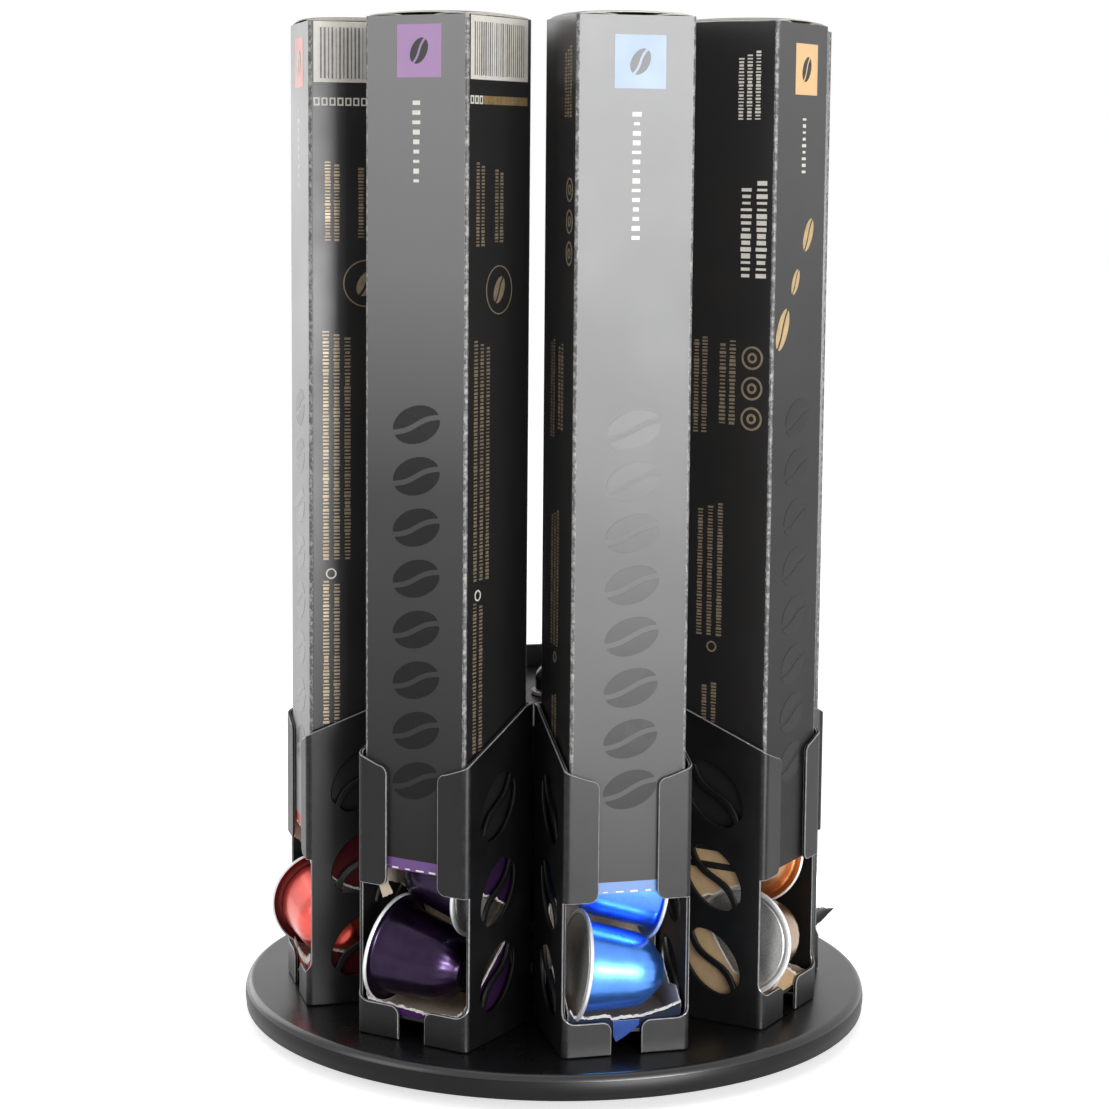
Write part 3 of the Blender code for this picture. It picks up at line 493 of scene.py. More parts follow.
nut_low, spindle_top = HUB_CAP_TOP + 0.0018, HUB_CAP_TOP + 0.0075
foot_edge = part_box("foot_plate")[1][0]
(_, _, glide_low), (glide_out, _, glide_high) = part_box("glide_ring")
nut_dome = [(NUT_RADIUS * math.sin(turn), nut_low + 0.004 + 0.0055 * math.cos(turn))
            for turn in quarter_turn(12)[1:]]
turned_pieces = {
    "disc_bush": (bush_profile(DISC_TOP, DISC_WEB), nylon, "turntable", 48),
    "cap_bush": (bush_profile(HUB_CAP_TOP, SHEET), nylon, "turntable", 48),
    "spindle_cap_nut": (
        [(0, nut_low + 0.0095)] + nut_dome
        + [(NUT_RADIUS, nut_low + 0.0003), (0.0072, nut_low), (BORE, nut_low), (BORE, spindle_top + PLAY),
           (0, spindle_top + PLAY)], black_steel, "foot", 64),
    "foot_plate": (
        [(BORE, 0.0035)] + corner_arc((foot_edge - 0.0004, 0.0031), 0.0004, 90, -90, 6) + [(BORE, 0.0020)],
        zinc_plate, "foot", 160),
    "glide_ring": (
        [(glide_out - 0.008, glide_low)]
        + corner_arc((glide_out - 0.0072, glide_high - 0.0008), 0.0008, 180, 90, 5)
        + corner_arc((glide_out - 0.0008, glide_high - 0.0008), 0.0008, 90, 0, 5)
        + [(glide_out, glide_low)], nylon, "foot", 128),
    "spindle": (
        [(0, spindle_top)] + corner_arc((0.0035, spindle_top - 0.0005), 0.0005, 90, 0, 4) + [(0.0040, 0.0017)]
        + corner_arc((0.0097, 0.0014), 0.0003, 90, 0, 4) + [(0.0100, 0.0007), (0, 0.0007)],
        zinc_plate, "foot", 64)}
for node, (profile, look, body, steps) in turned_pieces.items():
    hand_over(f"{node}_turned", lathe(profile, steps), [look], body, [node])

# %% [markdown]
# ## Rings of small parts
# Eight screws hold the bays, and four rubber pads stand under the foot plate. Both are rings of one
# model, so one Geometry Nodes tree makes them: it sets a copy at each point of a circle and turns it
# outwards. The tree ends in Realize Instances and Set Material, and its result becomes a plain mesh.

# %% The tree that sets copies in a ring
def end_tree(tree, given, result, source):
    """Realizes the instances and gives them their material."""
    real = tree.nodes.new("GeometryNodeRealizeInstances")
    paint = tree.nodes.new("GeometryNodeSetMaterial")
    wire(tree, (source, 0, real, 0), (real, 0, paint, "Geometry"), (given, "Material", paint, "Material"),
         (paint, 0, result, 0))


ring_tree, given, result = new_group("GeometryNodeTree", "ring of parts", {
    "Geometry": ("Geometry", None), "Count": ("Int", 8), "Radius": ("Float", 0.04), "Phase": ("Float", 0.0),
    "Material": ("Material", None)}, {"Geometry": "Geometry"})
circle = add_node(ring_tree, "GeometryNodeMeshCircle")
turned = add_node(ring_tree, "GeometryNodeTransform")
phase = add_node(ring_tree, "ShaderNodeCombineXYZ")
copies = add_node(ring_tree, "GeometryNodeInstanceOnPoints")
spot = add_node(ring_tree, "GeometryNodeInputPosition")
aim = add_node(ring_tree, "FunctionNodeAlignRotationToVector", axis="X")
wire(ring_tree, (given, "Count", circle, "Vertices"), (given, "Radius", circle, "Radius"),
     (circle, 0, turned, "Geometry"), (given, "Phase", phase, "Z"), (phase, 0, turned, "Rotation"),
     (turned, 0, copies, "Points"), (given, "Geometry", copies, "Instance"), (spot, 0, aim, "Vector"),
     (aim, 0, copies, "Rotation"))
end_tree(ring_tree, given, result, copies)


# %% Run a tree once and keep the plain mesh
def run_tree(tree, shape, **values):
    """Puts the tree on a shape, sets its inputs by identifier, and returns the evaluated mesh."""
    carrier = in_scene("tree_input", as_mesh(shape, "tree_input"))
    change = carrier.modifiers.new("tree", "NODES")
    change.node_group = tree
    sockets = {item.name: item.identifier for item in tree.interface.items_tree
               if item.item_type == "SOCKET" and item.in_out == "INPUT"}
    for name, value in values.items():
        change[sockets[name]] = value
    return worked_out(carrier)


# %% A screw with a plain round head, set eight times
SCREW_HEAD, SCREW_SHANK, HEAD_HEIGHT = 0.0040, 0.0020, 0.0024
head_low = BAY_BOTTOM + SHEET + PLAY
screw_end = DISC_TOP - DISC_WEB + 0.0004
screw_profile = ([(0, head_low + HEAD_HEIGHT)]
                 + [(SCREW_HEAD * math.sin(turn), head_low + HEAD_HEIGHT * math.cos(turn) ** 0.8)
                    for turn in quarter_turn(10)[1:-1]]
                 + [(SCREW_HEAD, head_low), (SCREW_SHANK, head_low), (SCREW_SHANK, screw_end),
                    (0, screw_end)])
screws = run_tree(ring_tree, lathe(screw_profile, 40), Count=BAYS, Radius=BAY_BACK - 0.007, Phase=0.0,
                  Material=zinc_plate)
hand_over("bay_screws", add_mesh(bmesh.new(), screws), [zinc_plate], "turntable",
          [f"bay_screw_{number}" for number in range(1, BAYS + 1)])

# %% Rubber pads with a rounded foot, set four times
pad_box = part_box("foot_pad_1")
pad_distance = math.hypot((pad_box[0][0] + pad_box[1][0]) / 2, (pad_box[0][1] + pad_box[1][1]) / 2)
pad_profile = ([(0, 0.0017)] + corner_arc((0.0067, 0.0014), 0.0003, 90, 0, 4)
               + corner_arc((0.0064, 0.0006), 0.0006, 0, -90, 5)
               + [(0.0052, 0.0), (0.0048, 0.0003), (0, 0.0003)])
pads = run_tree(ring_tree, lathe(pad_profile, 48), Count=4, Radius=pad_distance, Phase=math.pi / 4,
                Material=rubber)
hand_over("foot_pads", add_mesh(bmesh.new(), pads), [rubber], "foot",
          [f"foot_pad_{number}" for number in range(1, 5)])
print("pad distance", round(pad_distance, 4))

# %% [markdown]
# ## Folded sheets
# A real bay is one blank of sheet steel: cut flat, with its beans and lips, and then folded round the
# carton. The same is done here. A filled 2D curve makes the blank, with its cut edges a little
# rounded. The blank is sliced along its bend lines, and each point is carried from its place along the
# blank to its place round the fold. Cartons are folded from card in the same way.

# %% Cut a flat blank
def cut_blank(outline, holes, thickness, rounding):
    """A flat blank as a bmesh: X runs along the sheet, Y up it, and Z through it."""
    curve = bpy.data.curves.new("blank", "CURVE")
    curve.dimensions = "2D"
    curve.fill_mode = "BOTH"
    curve.extrude = thickness / 2 - rounding
    curve.bevel_depth = rounding
    curve.bevel_resolution = 1
    curve.offset = -rounding
    for line in [outline, *holes]:
        spline = curve.splines.new("POLY")
        spline.points.add(len(line) - 1)
        for point, (along, up) in zip(spline.points, line):
            point.co = (along, up, 0, 1)
        spline.use_cyclic_u = True
    shape = bmesh.new()
    shape.from_mesh(worked_out(in_scene("blank", curve)))
    bmesh.ops.remove_doubles(shape, verts=shape.verts, dist=2e-6)
    bmesh.ops.recalc_face_normals(shape, faces=shape.faces)
    return shape


# %% Fold a blank round a rounded square
class Fold:
    """The middle line of a sheet folded round a square, measured from the middle of its back, or of its
    front if it is flipped."""

    def __init__(self, half, near, far, radius, flipped=False):
        self.half, self.near, self.far, self.radius, self.flipped = half, near, far, radius, flipped
        self.bend = radius * math.pi / 2
        self.back_end = half - radius
        self.side_start = self.back_end + self.bend
        self.side_end = self.side_start + far - near - 2 * radius
        self.front_start = self.side_end + self.bend
        self.middle = self.front_start + half - radius
        self.bends = ((self.back_end, self.side_start), (self.side_end, self.front_start))

    def on_side(self, distance):
        reach = self.far - distance if self.flipped else distance - self.near
        return self.side_start + reach - self.radius

    def on_front(self, across):
        return self.front_start + self.half - self.radius - across

    def place(self, along, depth):
        """Across, distance from the spindle: a point of the sheet, depth outwards from its middle line."""
        side, run, radius = (1 if along >= 0 else -1), abs(along), self.radius
        if run <= self.back_end:
            spot, out = (run, self.near), (0, -1)
        elif run <= self.side_start:
            turn = (run - self.back_end) / radius
            out = (math.sin(turn), -math.cos(turn))
            spot = (self.back_end + radius * out[0], self.near + radius + radius * out[1])
        elif run <= self.side_end:
            spot, out = (self.half, self.near + radius + run - self.side_start), (1, 0)
        elif run <= self.front_start:
            turn = (run - self.side_end) / radius
            out = (math.cos(turn), math.sin(turn))
            spot = (self.back_end + radius * out[0], self.far - radius + radius * out[1])
        else:
            spot, out = (self.half - radius - (run - self.front_start), self.far), (0, 1)
        distance = spot[1] + out[1] * depth
        across = side * (spot[0] + out[0] * depth)
        return across, (self.near + self.far - distance if self.flipped else distance)


# %% Slice a blank along its bends, and fold it
RUBBED_REACH = 0.0007


def slice_at(shape, spot, normal):
    bmesh.ops.bisect_plane(shape, geom=shape.verts[:] + shape.edges[:] + shape.faces[:], dist=1e-7,
                           plane_co=spot, plane_no=normal)


def slice_bends(shape, fold, steps):
    """Slices the blank along its bends, so that it can be folded and rubbed there."""
    reach = max(abs(vert.co.x) for vert in shape.verts)
    lines = []
    for start, end in fold.bends:
        lines += [start - RUBBED_REACH, *(start + (end - start) * step / steps for step in range(steps + 1)),
                  end + RUBBED_REACH]
    for line in [side * line for line in lines for side in (1, -1) if line < reach]:
        slice_at(shape, (line, 0, 0), (1, 0, 0))
    return shape


def carry_round(shape, fold, base):
    """Folds the sliced blank, lifts it to its base, and paints the worn attribute along its bends."""
    worn = shape.verts.layers.float.new("worn")
    for vert in shape.verts:
        run = abs(vert.co.x)
        bent = min(max(start - run, run - end) for start, end in fold.bends)
        vert[worn] = 1.0 if bent < RUBBED_REACH / 2 else 0.0
        across, distance = fold.place(vert.co.x, vert.co.z)
        vert.co = Vector((across, -distance, vert.co.y + base))
    bmesh.ops.recalc_face_normals(shape, faces=shape.faces)
    return shape


bay_fold = Fold(BAY_HALF - SHEET / 2, BAY_BACK + SHEET / 2, LIP_MIDDLE, 0.0014)
print("length of a bay's blank", round(2 * bay_fold.middle, 4))

# %% [markdown]
# ## The bays
# The blank's edge starts at the notch between the lower lips and runs outwards: lower lip, window,
# upper lip with its rounded inner corners, the slanted top of the side, and the level top of the back.

# %% The outline of a bay's blank
LIP_HEIGHT, NOTCH, GAP, LIP_CORNER, WINDOW_CORNER = 0.0109, 0.0050, 0.0097, 0.0030, 0.0045
UPPER_LOW, UPPER_HIGH, FRONT_HIGH, BACK_HIGH, LEVEL_RUN = 0.0500, 0.0896, 0.0926, 0.1066, 0.0035


def bay_outline():
    """Half of the blank's outline, from the bottom of the notch to the level top of the back."""
    def front(points):
        return [(bay_fold.on_front(across), up) for across, up in points]

    window = bay_fold.side_end + 0.0004
    lip_run = bay_fold.on_front(BAY_HALF - WINDOW_CORNER) - window
    slope = (BACK_HIGH - FRONT_HIGH) / (BAY_FRONT - BAY_BACK - SHEET - LEVEL_RUN)
    side_top = FRONT_HIGH + slope * (BAY_FRONT - LIP_MIDDLE + bay_fold.radius)
    corner = GAP + LIP_CORNER
    points = front([(NOTCH, 0)]
                   + corner_arc((NOTCH + LIP_CORNER, LIP_HEIGHT - LIP_CORNER), LIP_CORNER, 180, 90, 8))
    points += [(window + lip_run * (1 - math.sin(turn)), LIP_HEIGHT + WINDOW_CORNER * (1 - math.cos(turn)))
               for turn in quarter_turn(10)]
    points += [(window, UPPER_LOW)]
    points += front(corner_arc((corner, UPPER_LOW + LIP_CORNER), LIP_CORNER, -90, -180, 8)
                    + corner_arc((corner, UPPER_HIGH - LIP_CORNER), LIP_CORNER, 180, 90, 8)
                    + [(0.0150, UPPER_HIGH + 0.0008), (0.0175, UPPER_HIGH + 0.0017)])
    points += [(bay_fold.front_start, UPPER_HIGH + 0.0023),
               ((bay_fold.front_start + bay_fold.side_end) / 2, UPPER_HIGH + 0.0030),
               (bay_fold.side_end, side_top)]
    flat = bay_fold.on_side(BAY_BACK + SHEET + LEVEL_RUN)
    return points + [(flat + 0.003, BACK_HIGH - 0.003 * slope), (flat + 0.0012, BACK_HIGH - 0.0003),
                     (flat, BACK_HIGH)]


def mirrored(line):
    return [(-along, up) for along, up in line]


half_line = bay_outline()
blank_outline = half_line + mirrored(half_line[::-1])
print("outline points", len(blank_outline))

# %% The coffee beans cut out of both sides
BEAN_LENGTH, BEAN_WIDTH, BEAN_SLIT, BEAN_WAVE, BEAN_SLOPE = 0.0250, 0.0164, 0.0022, 0.0016, math.radians(-48)
BEAN_BEHIND, BEAN_LOW, BEAN_STEP = 0.0188, 0.0203, 0.0282


def bean_outlines(length, width, slit, wave, steps=18):
    """The two halves of a bean, each side of a waved slit, along and across it."""
    halves = []
    for side in (1, -1):
        turns = [math.pi * (step / steps) for step in range(steps + 1)]
        rim = [(length / 2 * -math.cos(turn) * 0.985, side * width / 2 * math.sin(turn)) for turn in turns]
        rim = [point for point in rim if abs(point[1]) > slit * 0.9]
        start, end = rim[-1][0], rim[0][0]
        places = [start + (end - start) * step / 12 for step in range(13)]
        halves.append(rim + [(along, wave * math.sin(2 * math.pi * along / length) + side * slit / 2)
                             for along in places])
    return halves


def turn_outline(line, angle, centre):
    return [(centre[0] + along * math.cos(angle) - across * math.sin(angle),
             centre[1] + along * math.sin(angle) + across * math.cos(angle)) for along, across in line]


bean_holes = []
for row in range(3):
    for half in bean_outlines(BEAN_LENGTH, BEAN_WIDTH, BEAN_SLIT, BEAN_WAVE):
        placed = turn_outline(half, BEAN_SLOPE, (BAY_FRONT - BEAN_BEHIND, BEAN_LOW + BEAN_STEP * row))
        line = [(bay_fold.on_side(distance), up) for distance, up in placed]
        bean_holes += [line, mirrored(line)]
print("holes in a bay", len(bean_holes))


# %% Fold one bay, add its floor and its foot flange, and set it eight times
def plate(shape, low, high, rounding, segments=2):
    """A flat plate with rounded edges, added to the shape."""
    made = bmesh.new()
    bmesh.ops.create_cube(made, size=1)
    size = Matrix.Diagonal([high[axis] - low[axis] for axis in range(3)] + [1])
    middle = Matrix.Translation([(high[axis] + low[axis]) / 2 for axis in range(3)])
    bmesh.ops.transform(made, matrix=middle @ size, verts=made.verts)
    bmesh.ops.bevel(made, geom=made.edges, offset=rounding, segments=segments, affect="EDGES", profile=0.5)
    return add_mesh(shape, as_mesh(made, "plate"), 0)


# The floor and the flange reach a little way into the back of the bay, where they are joined to it.
FLOOR_HALF, FLOOR_LOW, FLOOR_HIGH, FLANGE_HALF, FLANGE_REACH = 0.0194, 0.0066, 0.0078, 0.0120, 0.0140
joined = -(BAY_BACK + 0.0006)
bay_blank = cut_blank(blank_outline, bean_holes, SHEET, 0.0003)
# The chamfers of the outer outline, not those of the beans, take the light grey finish: a painted highlight.
for face in bay_blank.faces:
    along, up = abs(face.calc_center_median().x), face.calc_center_median().y
    outer = along > bay_fold.side_end - 0.0002 or up > UPPER_HIGH
    face.material_index = 1 if outer and 0.2 < abs(face.normal.z) < 0.95 else 0
bay_shape = carry_round(slice_bends(bay_blank, bay_fold, 8), bay_fold, BAY_BOTTOM)
plate(bay_shape, (-FLOOR_HALF, -CARTON_FRONT, BAY_BOTTOM + FLOOR_LOW),
      (FLOOR_HALF, joined, BAY_BOTTOM + FLOOR_HIGH), 0.0002)
plate(bay_shape, (-FLANGE_HALF, joined, BAY_BOTTOM),
      (FLANGE_HALF, -(BAY_BACK - FLANGE_REACH), BAY_BOTTOM + SHEET), 0.0002)
bay_data = as_mesh(bay_shape, "bay_model")
for number in range(1, BAYS + 1):
    hand_over(f"bay_{number}_folded", add_mesh(bmesh.new(), bay_data, None, to_bay(number)),
              [black_lacquer, edge_highlight], "turntable", [f"bay_{number}"], angle=18)

# %% [markdown]
# ## The hub cap
# The cap is an eight sided tray turned upside down between the backs of the bays. Its edges are folded,
# so they are rounded with a bevel, and the spindle's bush sits in its middle.

# %% Make the hub cap
SKIRT = 0.012
cap = bmesh.new()
cap_radius = (BAY_BACK - 0.0004) / math.cos(math.pi / BAYS)
corners = on_circle(cap_radius, [math.pi / BAYS * (2 * side + 1) for side in range(BAYS)])
outer_rim = [cap.verts.new((x, y, HUB_CAP_TOP)) for x, y in corners]
inner_rim = [cap.verts.new((x, y, HUB_CAP_TOP)) for x, y in on_circle(BUSH_HOLE, full_turn(32))]
skirt = [cap.verts.new((x, y, HUB_CAP_TOP - SKIRT)) for x, y in corners]
top_edges = [cap.edges.new((rim[step], rim[(step + 1) % len(rim)]))
             for rim in (outer_rim, inner_rim) for step in range(len(rim))]
bmesh.ops.triangle_fill(cap, use_beauty=True, edges=top_edges, normal=(0, 0, 1))
for side in range(BAYS):
    after = (side + 1) % BAYS
    cap.faces.new((outer_rim[side], skirt[side], skirt[after], outer_rim[after]))
bmesh.ops.recalc_face_normals(cap, faces=cap.faces)
cap_object = in_scene("hub_cap_sheet", as_mesh(cap, "hub_cap_sheet"))
wall = cap_object.modifiers.new("sheet", "SOLIDIFY")
wall.thickness, wall.offset, wall.use_even_offset = SHEET, -1, True
soft = cap_object.modifiers.new("folds", "BEVEL")
soft.width, soft.segments, soft.limit_method, soft.angle_limit = 0.0005, 3, "ANGLE", math.radians(35)
hand_over("hub_cap_folded", add_mesh(bmesh.new(), worked_out(cap_object)), [black_lacquer], "turntable",
          ["hub_cap"], angle=28)

# %% [markdown]
# ## The capsules
# A capsule is drawn from one disc of foil: a cone, a rounded shoulder with pressed flutes, and a flat
# nose. Its mouth is rolled into a bead, and a bare foil lid with a pressed ring closes it. The lathe
# makes it about its own axis, and then it is laid on its side as the solid is.

# %% The profile of a capsule, from its nose to the middle of its lid
FLUTE_LOW, FLUTE_HIGH, FLUTE_SPAN, FLUTE_DEPTH, FLUTES = 0.0192, 0.0275, 0.0083, 0.00016, 24
FLAT_FLANGE, CAPSULE_STEPS = 4, 96
FOIL, RIM, LID, FLANGE = range(4)


def capsule_shape():
    nose = [(0, 0.0277), (0.0030, 0.0277), (0.0040, 0.0281)] + corner_arc((0.0052, 0.0278), 0.0008, 90, 20, 5)
    cone_top = [(0.0068, 0.0272), (0.0085, 0.0259), (0.0100, 0.0244), (0.0112, 0.0226), (0.0119, 0.0208),
                (0.0123, 0.0192)]
    body = [(0.0123 + (0.0148 - 0.0123) * share, 0.0192 + (0.0024 - 0.0192) * share)
            for share in (0.12, 0.3, 0.5, 0.7, 0.85, 1.0)]
    bead = [(0.0150, 0.0014), (0.0154, 0.0010), (0.0162, 0.0009), (0.0170, 0.0010)]
    bead += corner_arc((0.01762, 0.00062), 0.00062, 90, -90, 9)
    lid = [(0.0168, 0.00008), (0.0165, 0.00012), (0.0163, 0.00040), (0.0158, 0.00040), (0.0156, 0.00018),
           (0.0120, 0.00018), (0.0060, 0.00022), (0, 0.00024)]
    foil_spans = len(nose + cone_top + body) - 1
    looks = ([FOIL] * foil_spans + [FLANGE] * (FLAT_FLANGE + 1) + [RIM] * (len(bead) - FLAT_FLANGE)
             + [LID] * (len(lid) - 1))
    shape = lathe(nose + cone_top + body + bead + lid, CAPSULE_STEPS, looks)
    for vert in shape.verts:
        radius, height = math.hypot(vert.co.x, vert.co.y), vert.co.z
        if FLUTE_LOW < height < FLUTE_HIGH and radius > 0.006:
            turn = math.atan2(vert.co.y, vert.co.x)
            depth = FLUTE_DEPTH * math.sin(math.pi * (height - FLUTE_LOW) / FLUTE_SPAN)
            share = 1 - depth * (0.5 + 0.5 * math.cos(FLUTES * turn)) / radius
            vert.co.x, vert.co.y = vert.co.x * share, vert.co.y * share
    return shape


# %% Lay two capsules in each loaded bay, the upper one turned end for end
# Each level is (the side that the lid is on, distance from the spindle, height of the lid's middle).
CAPSULES = {"upper": (1, CARTON_MIDDLE, 0.06276), "lower": (-1, 0.07951, 0.03927)}
CAPSULE_SIDE, CAPSULE_TILT, CAPSULE_TURN = 0.01437, math.radians(8), 37
capsule_data = as_mesh(capsule_shape(), "capsule_model")
for number in LOADED:
    for level, (side, distance, height) in CAPSULES.items():
        pose = (to_bay(number) @ Matrix.Translation((side * CAPSULE_SIDE, -distance, height))
                @ Matrix.Rotation(-side * math.pi / 2 + CAPSULE_TILT, 4, "Y")
                @ Matrix.Rotation(math.radians(CAPSULE_TURN * number), 4, "Z"))
        body = f"carton_{number}" if level == "upper" else f"capsule_{number}"
        foil = orange_foil if (number, level) == (2, "upper") else foils[number]
        # Capsule 7's flange takes the darker copy of its foil, painted shade.
        flange = shaded_flange if number == 7 else foil
        hand_over(f"{level}_capsule_{number}_foil", add_mesh(bmesh.new(), capsule_data, None, pose),
                  [foil, bare_rim, bare_lid, flange], body, [f"{level}_capsule_{number}"], angle=40)

# %% [markdown]
# ## Printed marks
# The cartons carry fine printed marks in rows: bars, dashes along the tear line, and ruled lines. They
# are generic ornament. One Geometry Nodes tree makes every row: thin slabs at even steps, whose
# lengths and widths vary with a fixed seed.

# %% The tree that makes a row of marks
row_tree, given, result = new_group("GeometryNodeTree", "row of marks", {
    "Geometry": ("Geometry", None), "Count": ("Int", 12), "Step": ("Float", 0.001), "Thin": ("Float", 0.0002),
    "Thick": ("Float", 0.0004), "Short": ("Float", 0.001), "Long": ("Float", 0.002), "Seed": ("Int", 1),
    "Height": ("Float", 0.00004), "Material": ("Material", None)}, {"Geometry": "Geometry"})
line = add_node(row_tree, "GeometryNodeMeshLine", mode="OFFSET")
stride, least, most = [add_node(row_tree, "ShaderNodeCombineXYZ") for _ in range(3)]
slab = add_node(row_tree, "GeometryNodeMeshCube")
chance = add_node(row_tree, "FunctionNodeRandomValue", data_type="FLOAT_VECTOR")
copies = add_node(row_tree, "GeometryNodeInstanceOnPoints")
wire(row_tree, (given, "Count", line, "Count"), (given, "Step", stride, "X"), (stride, 0, line, "Offset"),
     (given, "Thin", least, "X"), (given, "Short", least, "Y"), (given, "Height", least, "Z"),
     (given, "Thick", most, "X"), (given, "Long", most, "Y"), (given, "Height", most, "Z"),
     (least, 0, chance, "Min"), (most, 0, chance, "Max"), (given, "Seed", chance, "Seed"),
     (line, 0, copies, "Points"), (slab, 0, copies, "Instance"), (chance, 0, copies, "Scale"))
end_tree(row_tree, given, result, copies)
INK_DEPTH = 0.00008


def row_of_marks(count, step, width, length, look, seed):
    """A row along X of slabs; width and length are (least, most). Starts at X 0."""
    return run_tree(row_tree, bmesh.new(), Count=count, Step=step, Thin=width[0], Thick=width[1],
                    Short=length[0], Long=length[1], Height=INK_DEPTH, Seed=seed, Material=look)


# %% Flat shapes of print: a closed slab of ink, thinner than the card, on the face of a carton
def print_slab(outline, holes=()):
    return as_mesh(cut_blank(outline, holes, INK_DEPTH, 0.00001), "print")


def rectangle(low, high):
    return [(low[0], low[1]), (high[0], low[1]), (high[0], high[1]), (low[0], high[1])]


def facing_front(distance):
    """Carries (along, up, out) to a face at this distance in front of the spindle."""
    return Matrix(((1, 0, 0, 0), (0, 0, -1, -distance), (0, 1, 0, 0), (0, 0, 0, 1)))


def facing_side(side, half, way):
    """The same for the right (1) or left (-1) side; along runs away from the front (1) or to it (-1)."""
    return Matrix(((0, 0, side, side * half), (way, 0, 0, 0), (0, 1, 0, 0), (0, 0, 0, 1)))


FACES = {"front": facing_front(CARTON_FRONT), "right": facing_side(1, CARTON_HALF, 1),
         "left": facing_side(-1, CARTON_HALF, -1)}

# %% [markdown]
# ## The cartons
# A carton's sleeve is a blank of card folded round the capsules. The bottom of its front is torn off
# along a perforation, and its sides are torn on a curve. Every cut edge is pale, the inside is brown,
# and the folds are rubbed. Two dust flaps and a bulging lid close the top.

# %% Where a carton's sleeve is torn, in metres above its bottom
CARD_BEND, CARD_EDGE, TORN_CARD = 0.0007, 0.00004, 0.0003
carton_fold = Fold(CARTON_HALF - CARD / 2, CARTON_BACK + CARD / 2, CARTON_FRONT - CARD / 2, CARD_BEND,
                   flipped=True)
SLEEVE_TOP = 0.3396 - CARTON_BOTTOM
SIDE_TEAR = ((0.0, 0.0478), (0.0093, 0.0411), (0.0237, 0.0344), (0.0300, 0.0215), (0.0300, 0.0))
SIDE_DROPS = {2: 0.0030, 7: 0.0080}
FRONT_TEAR, FRONT_TEARS = 0.0478, {1: 0.0442, 2: 0.0430}
BAND_HEIGHT, FOOT_TOPS, FOOT_STRIPES = 0.0038, {2: 0.0490}, {2: (0.0429, 0.0452)}
PRINT, SIDE_PRINT, KRAFT, CUT, FOLDED, LABEL, MARK, CREAM, BRONZE, GOLD, BAND, BARS, FOOT = range(13)
print("length of a carton's blank", round(2 * carton_fold.middle, 4))


# %% Torn lines
PLY, PLY_LIFT = 0.00010, 0.00006


def torn_side(seed, front_tear):
    """The torn edge of one side, from the end of the perforation down to the bottom near the back. Each
    carton has two seeds, ten times its number and one more."""
    chance = random.Random(seed)
    line = []
    tear = [(depth, max(up - SIDE_DROPS.get(seed // 10, 0.0), 0.0)) for depth, up in SIDE_TEAR]
    for (depth, up), (deeper, lower) in zip(tear, tear[1:]):
        for step in range(12):
            share = step / 12
            jag = chance.uniform(-0.0003, 0.0003) if step else 0
            reach = CARTON_FRONT - CARD_BEND - depth - (deeper - depth) * share
            line.append((carton_fold.on_side(reach) + jag, up + (lower - up) * share + jag))
    return [(along, min(up, front_tear)) for along, up in line]


def sleeve_outline(seed, front_tear):
    """The whole blank: both torn sides, the perforated edge across the front, and the top."""
    end = carton_fold.middle - 0.00005
    bottom = carton_fold.on_side(CARTON_FRONT - CARD_BEND - SIDE_TEAR[-1][0])
    right, left = [[(carton_fold.back_end, front_tear), *torn_side(start, front_tear), (bottom, 0), (end, 0),
                    (end, SLEEVE_TOP)] for start in (seed, seed + 1)]
    return right + mirrored(left[::-1])


def ragged(points, seed, roughness=0.0002, steps=10):
    """Breaks a line of straight tears into short, uneven ones."""
    chance = random.Random(seed)
    line = []
    for (start, low), (end, high) in zip(points, points[1:]):
        for share in [step / steps for step in range(steps)]:
            line.append((start + (end - start) * share,
                         low + (high - low) * share + chance.uniform(-roughness, roughness)))
    return line + [points[-1]]


def torn_ply(line, width, seed, card, look):
    """A thin pale ribbon along a torn line, on the face of its card, where the card shows its own fibres."""
    chance = random.Random(seed)
    upper = [(along + chance.uniform(-0.0001, 0.0001), up + width * chance.uniform(0.6, 1.3))
             for along, up in line]
    ribbon = cut_blank(line + upper[::-1], (), PLY, 0.00001)
    for face in ribbon.faces:
        face.material_index = look
    bmesh.ops.translate(ribbon, vec=(0, 0, card / 2 + PLY_LIFT), verts=ribbon.verts)
    return as_mesh(ribbon, "torn_ply")


# %% Fold a carton's sleeve, and give each face the look of its side of the card
def sleeve_look(face, band_top, foot_top, stripe):
    """The look of one face of the flat blank, by which way it faces and where it is."""
    along, up = abs(face.calc_center_median().x), face.calc_center_median().y
    on_front = along < carton_fold.back_end
    if abs(face.normal.z) < 0.4:
        return CUT
    if face.normal.z < 0:
        return KRAFT
    if on_front and up < band_top:
        return BAND
    # Sides below the foot take the side foot colour, darkened as painted shade.
    if along > carton_fold.back_end and up < foot_top:
        return SIDE_PRINT if stripe[0] < up < stripe[1] else FOOT
    if any(start <= along <= end for start, end in carton_fold.bends):
        return FOLDED
    return PRINT if on_front else SIDE_PRINT


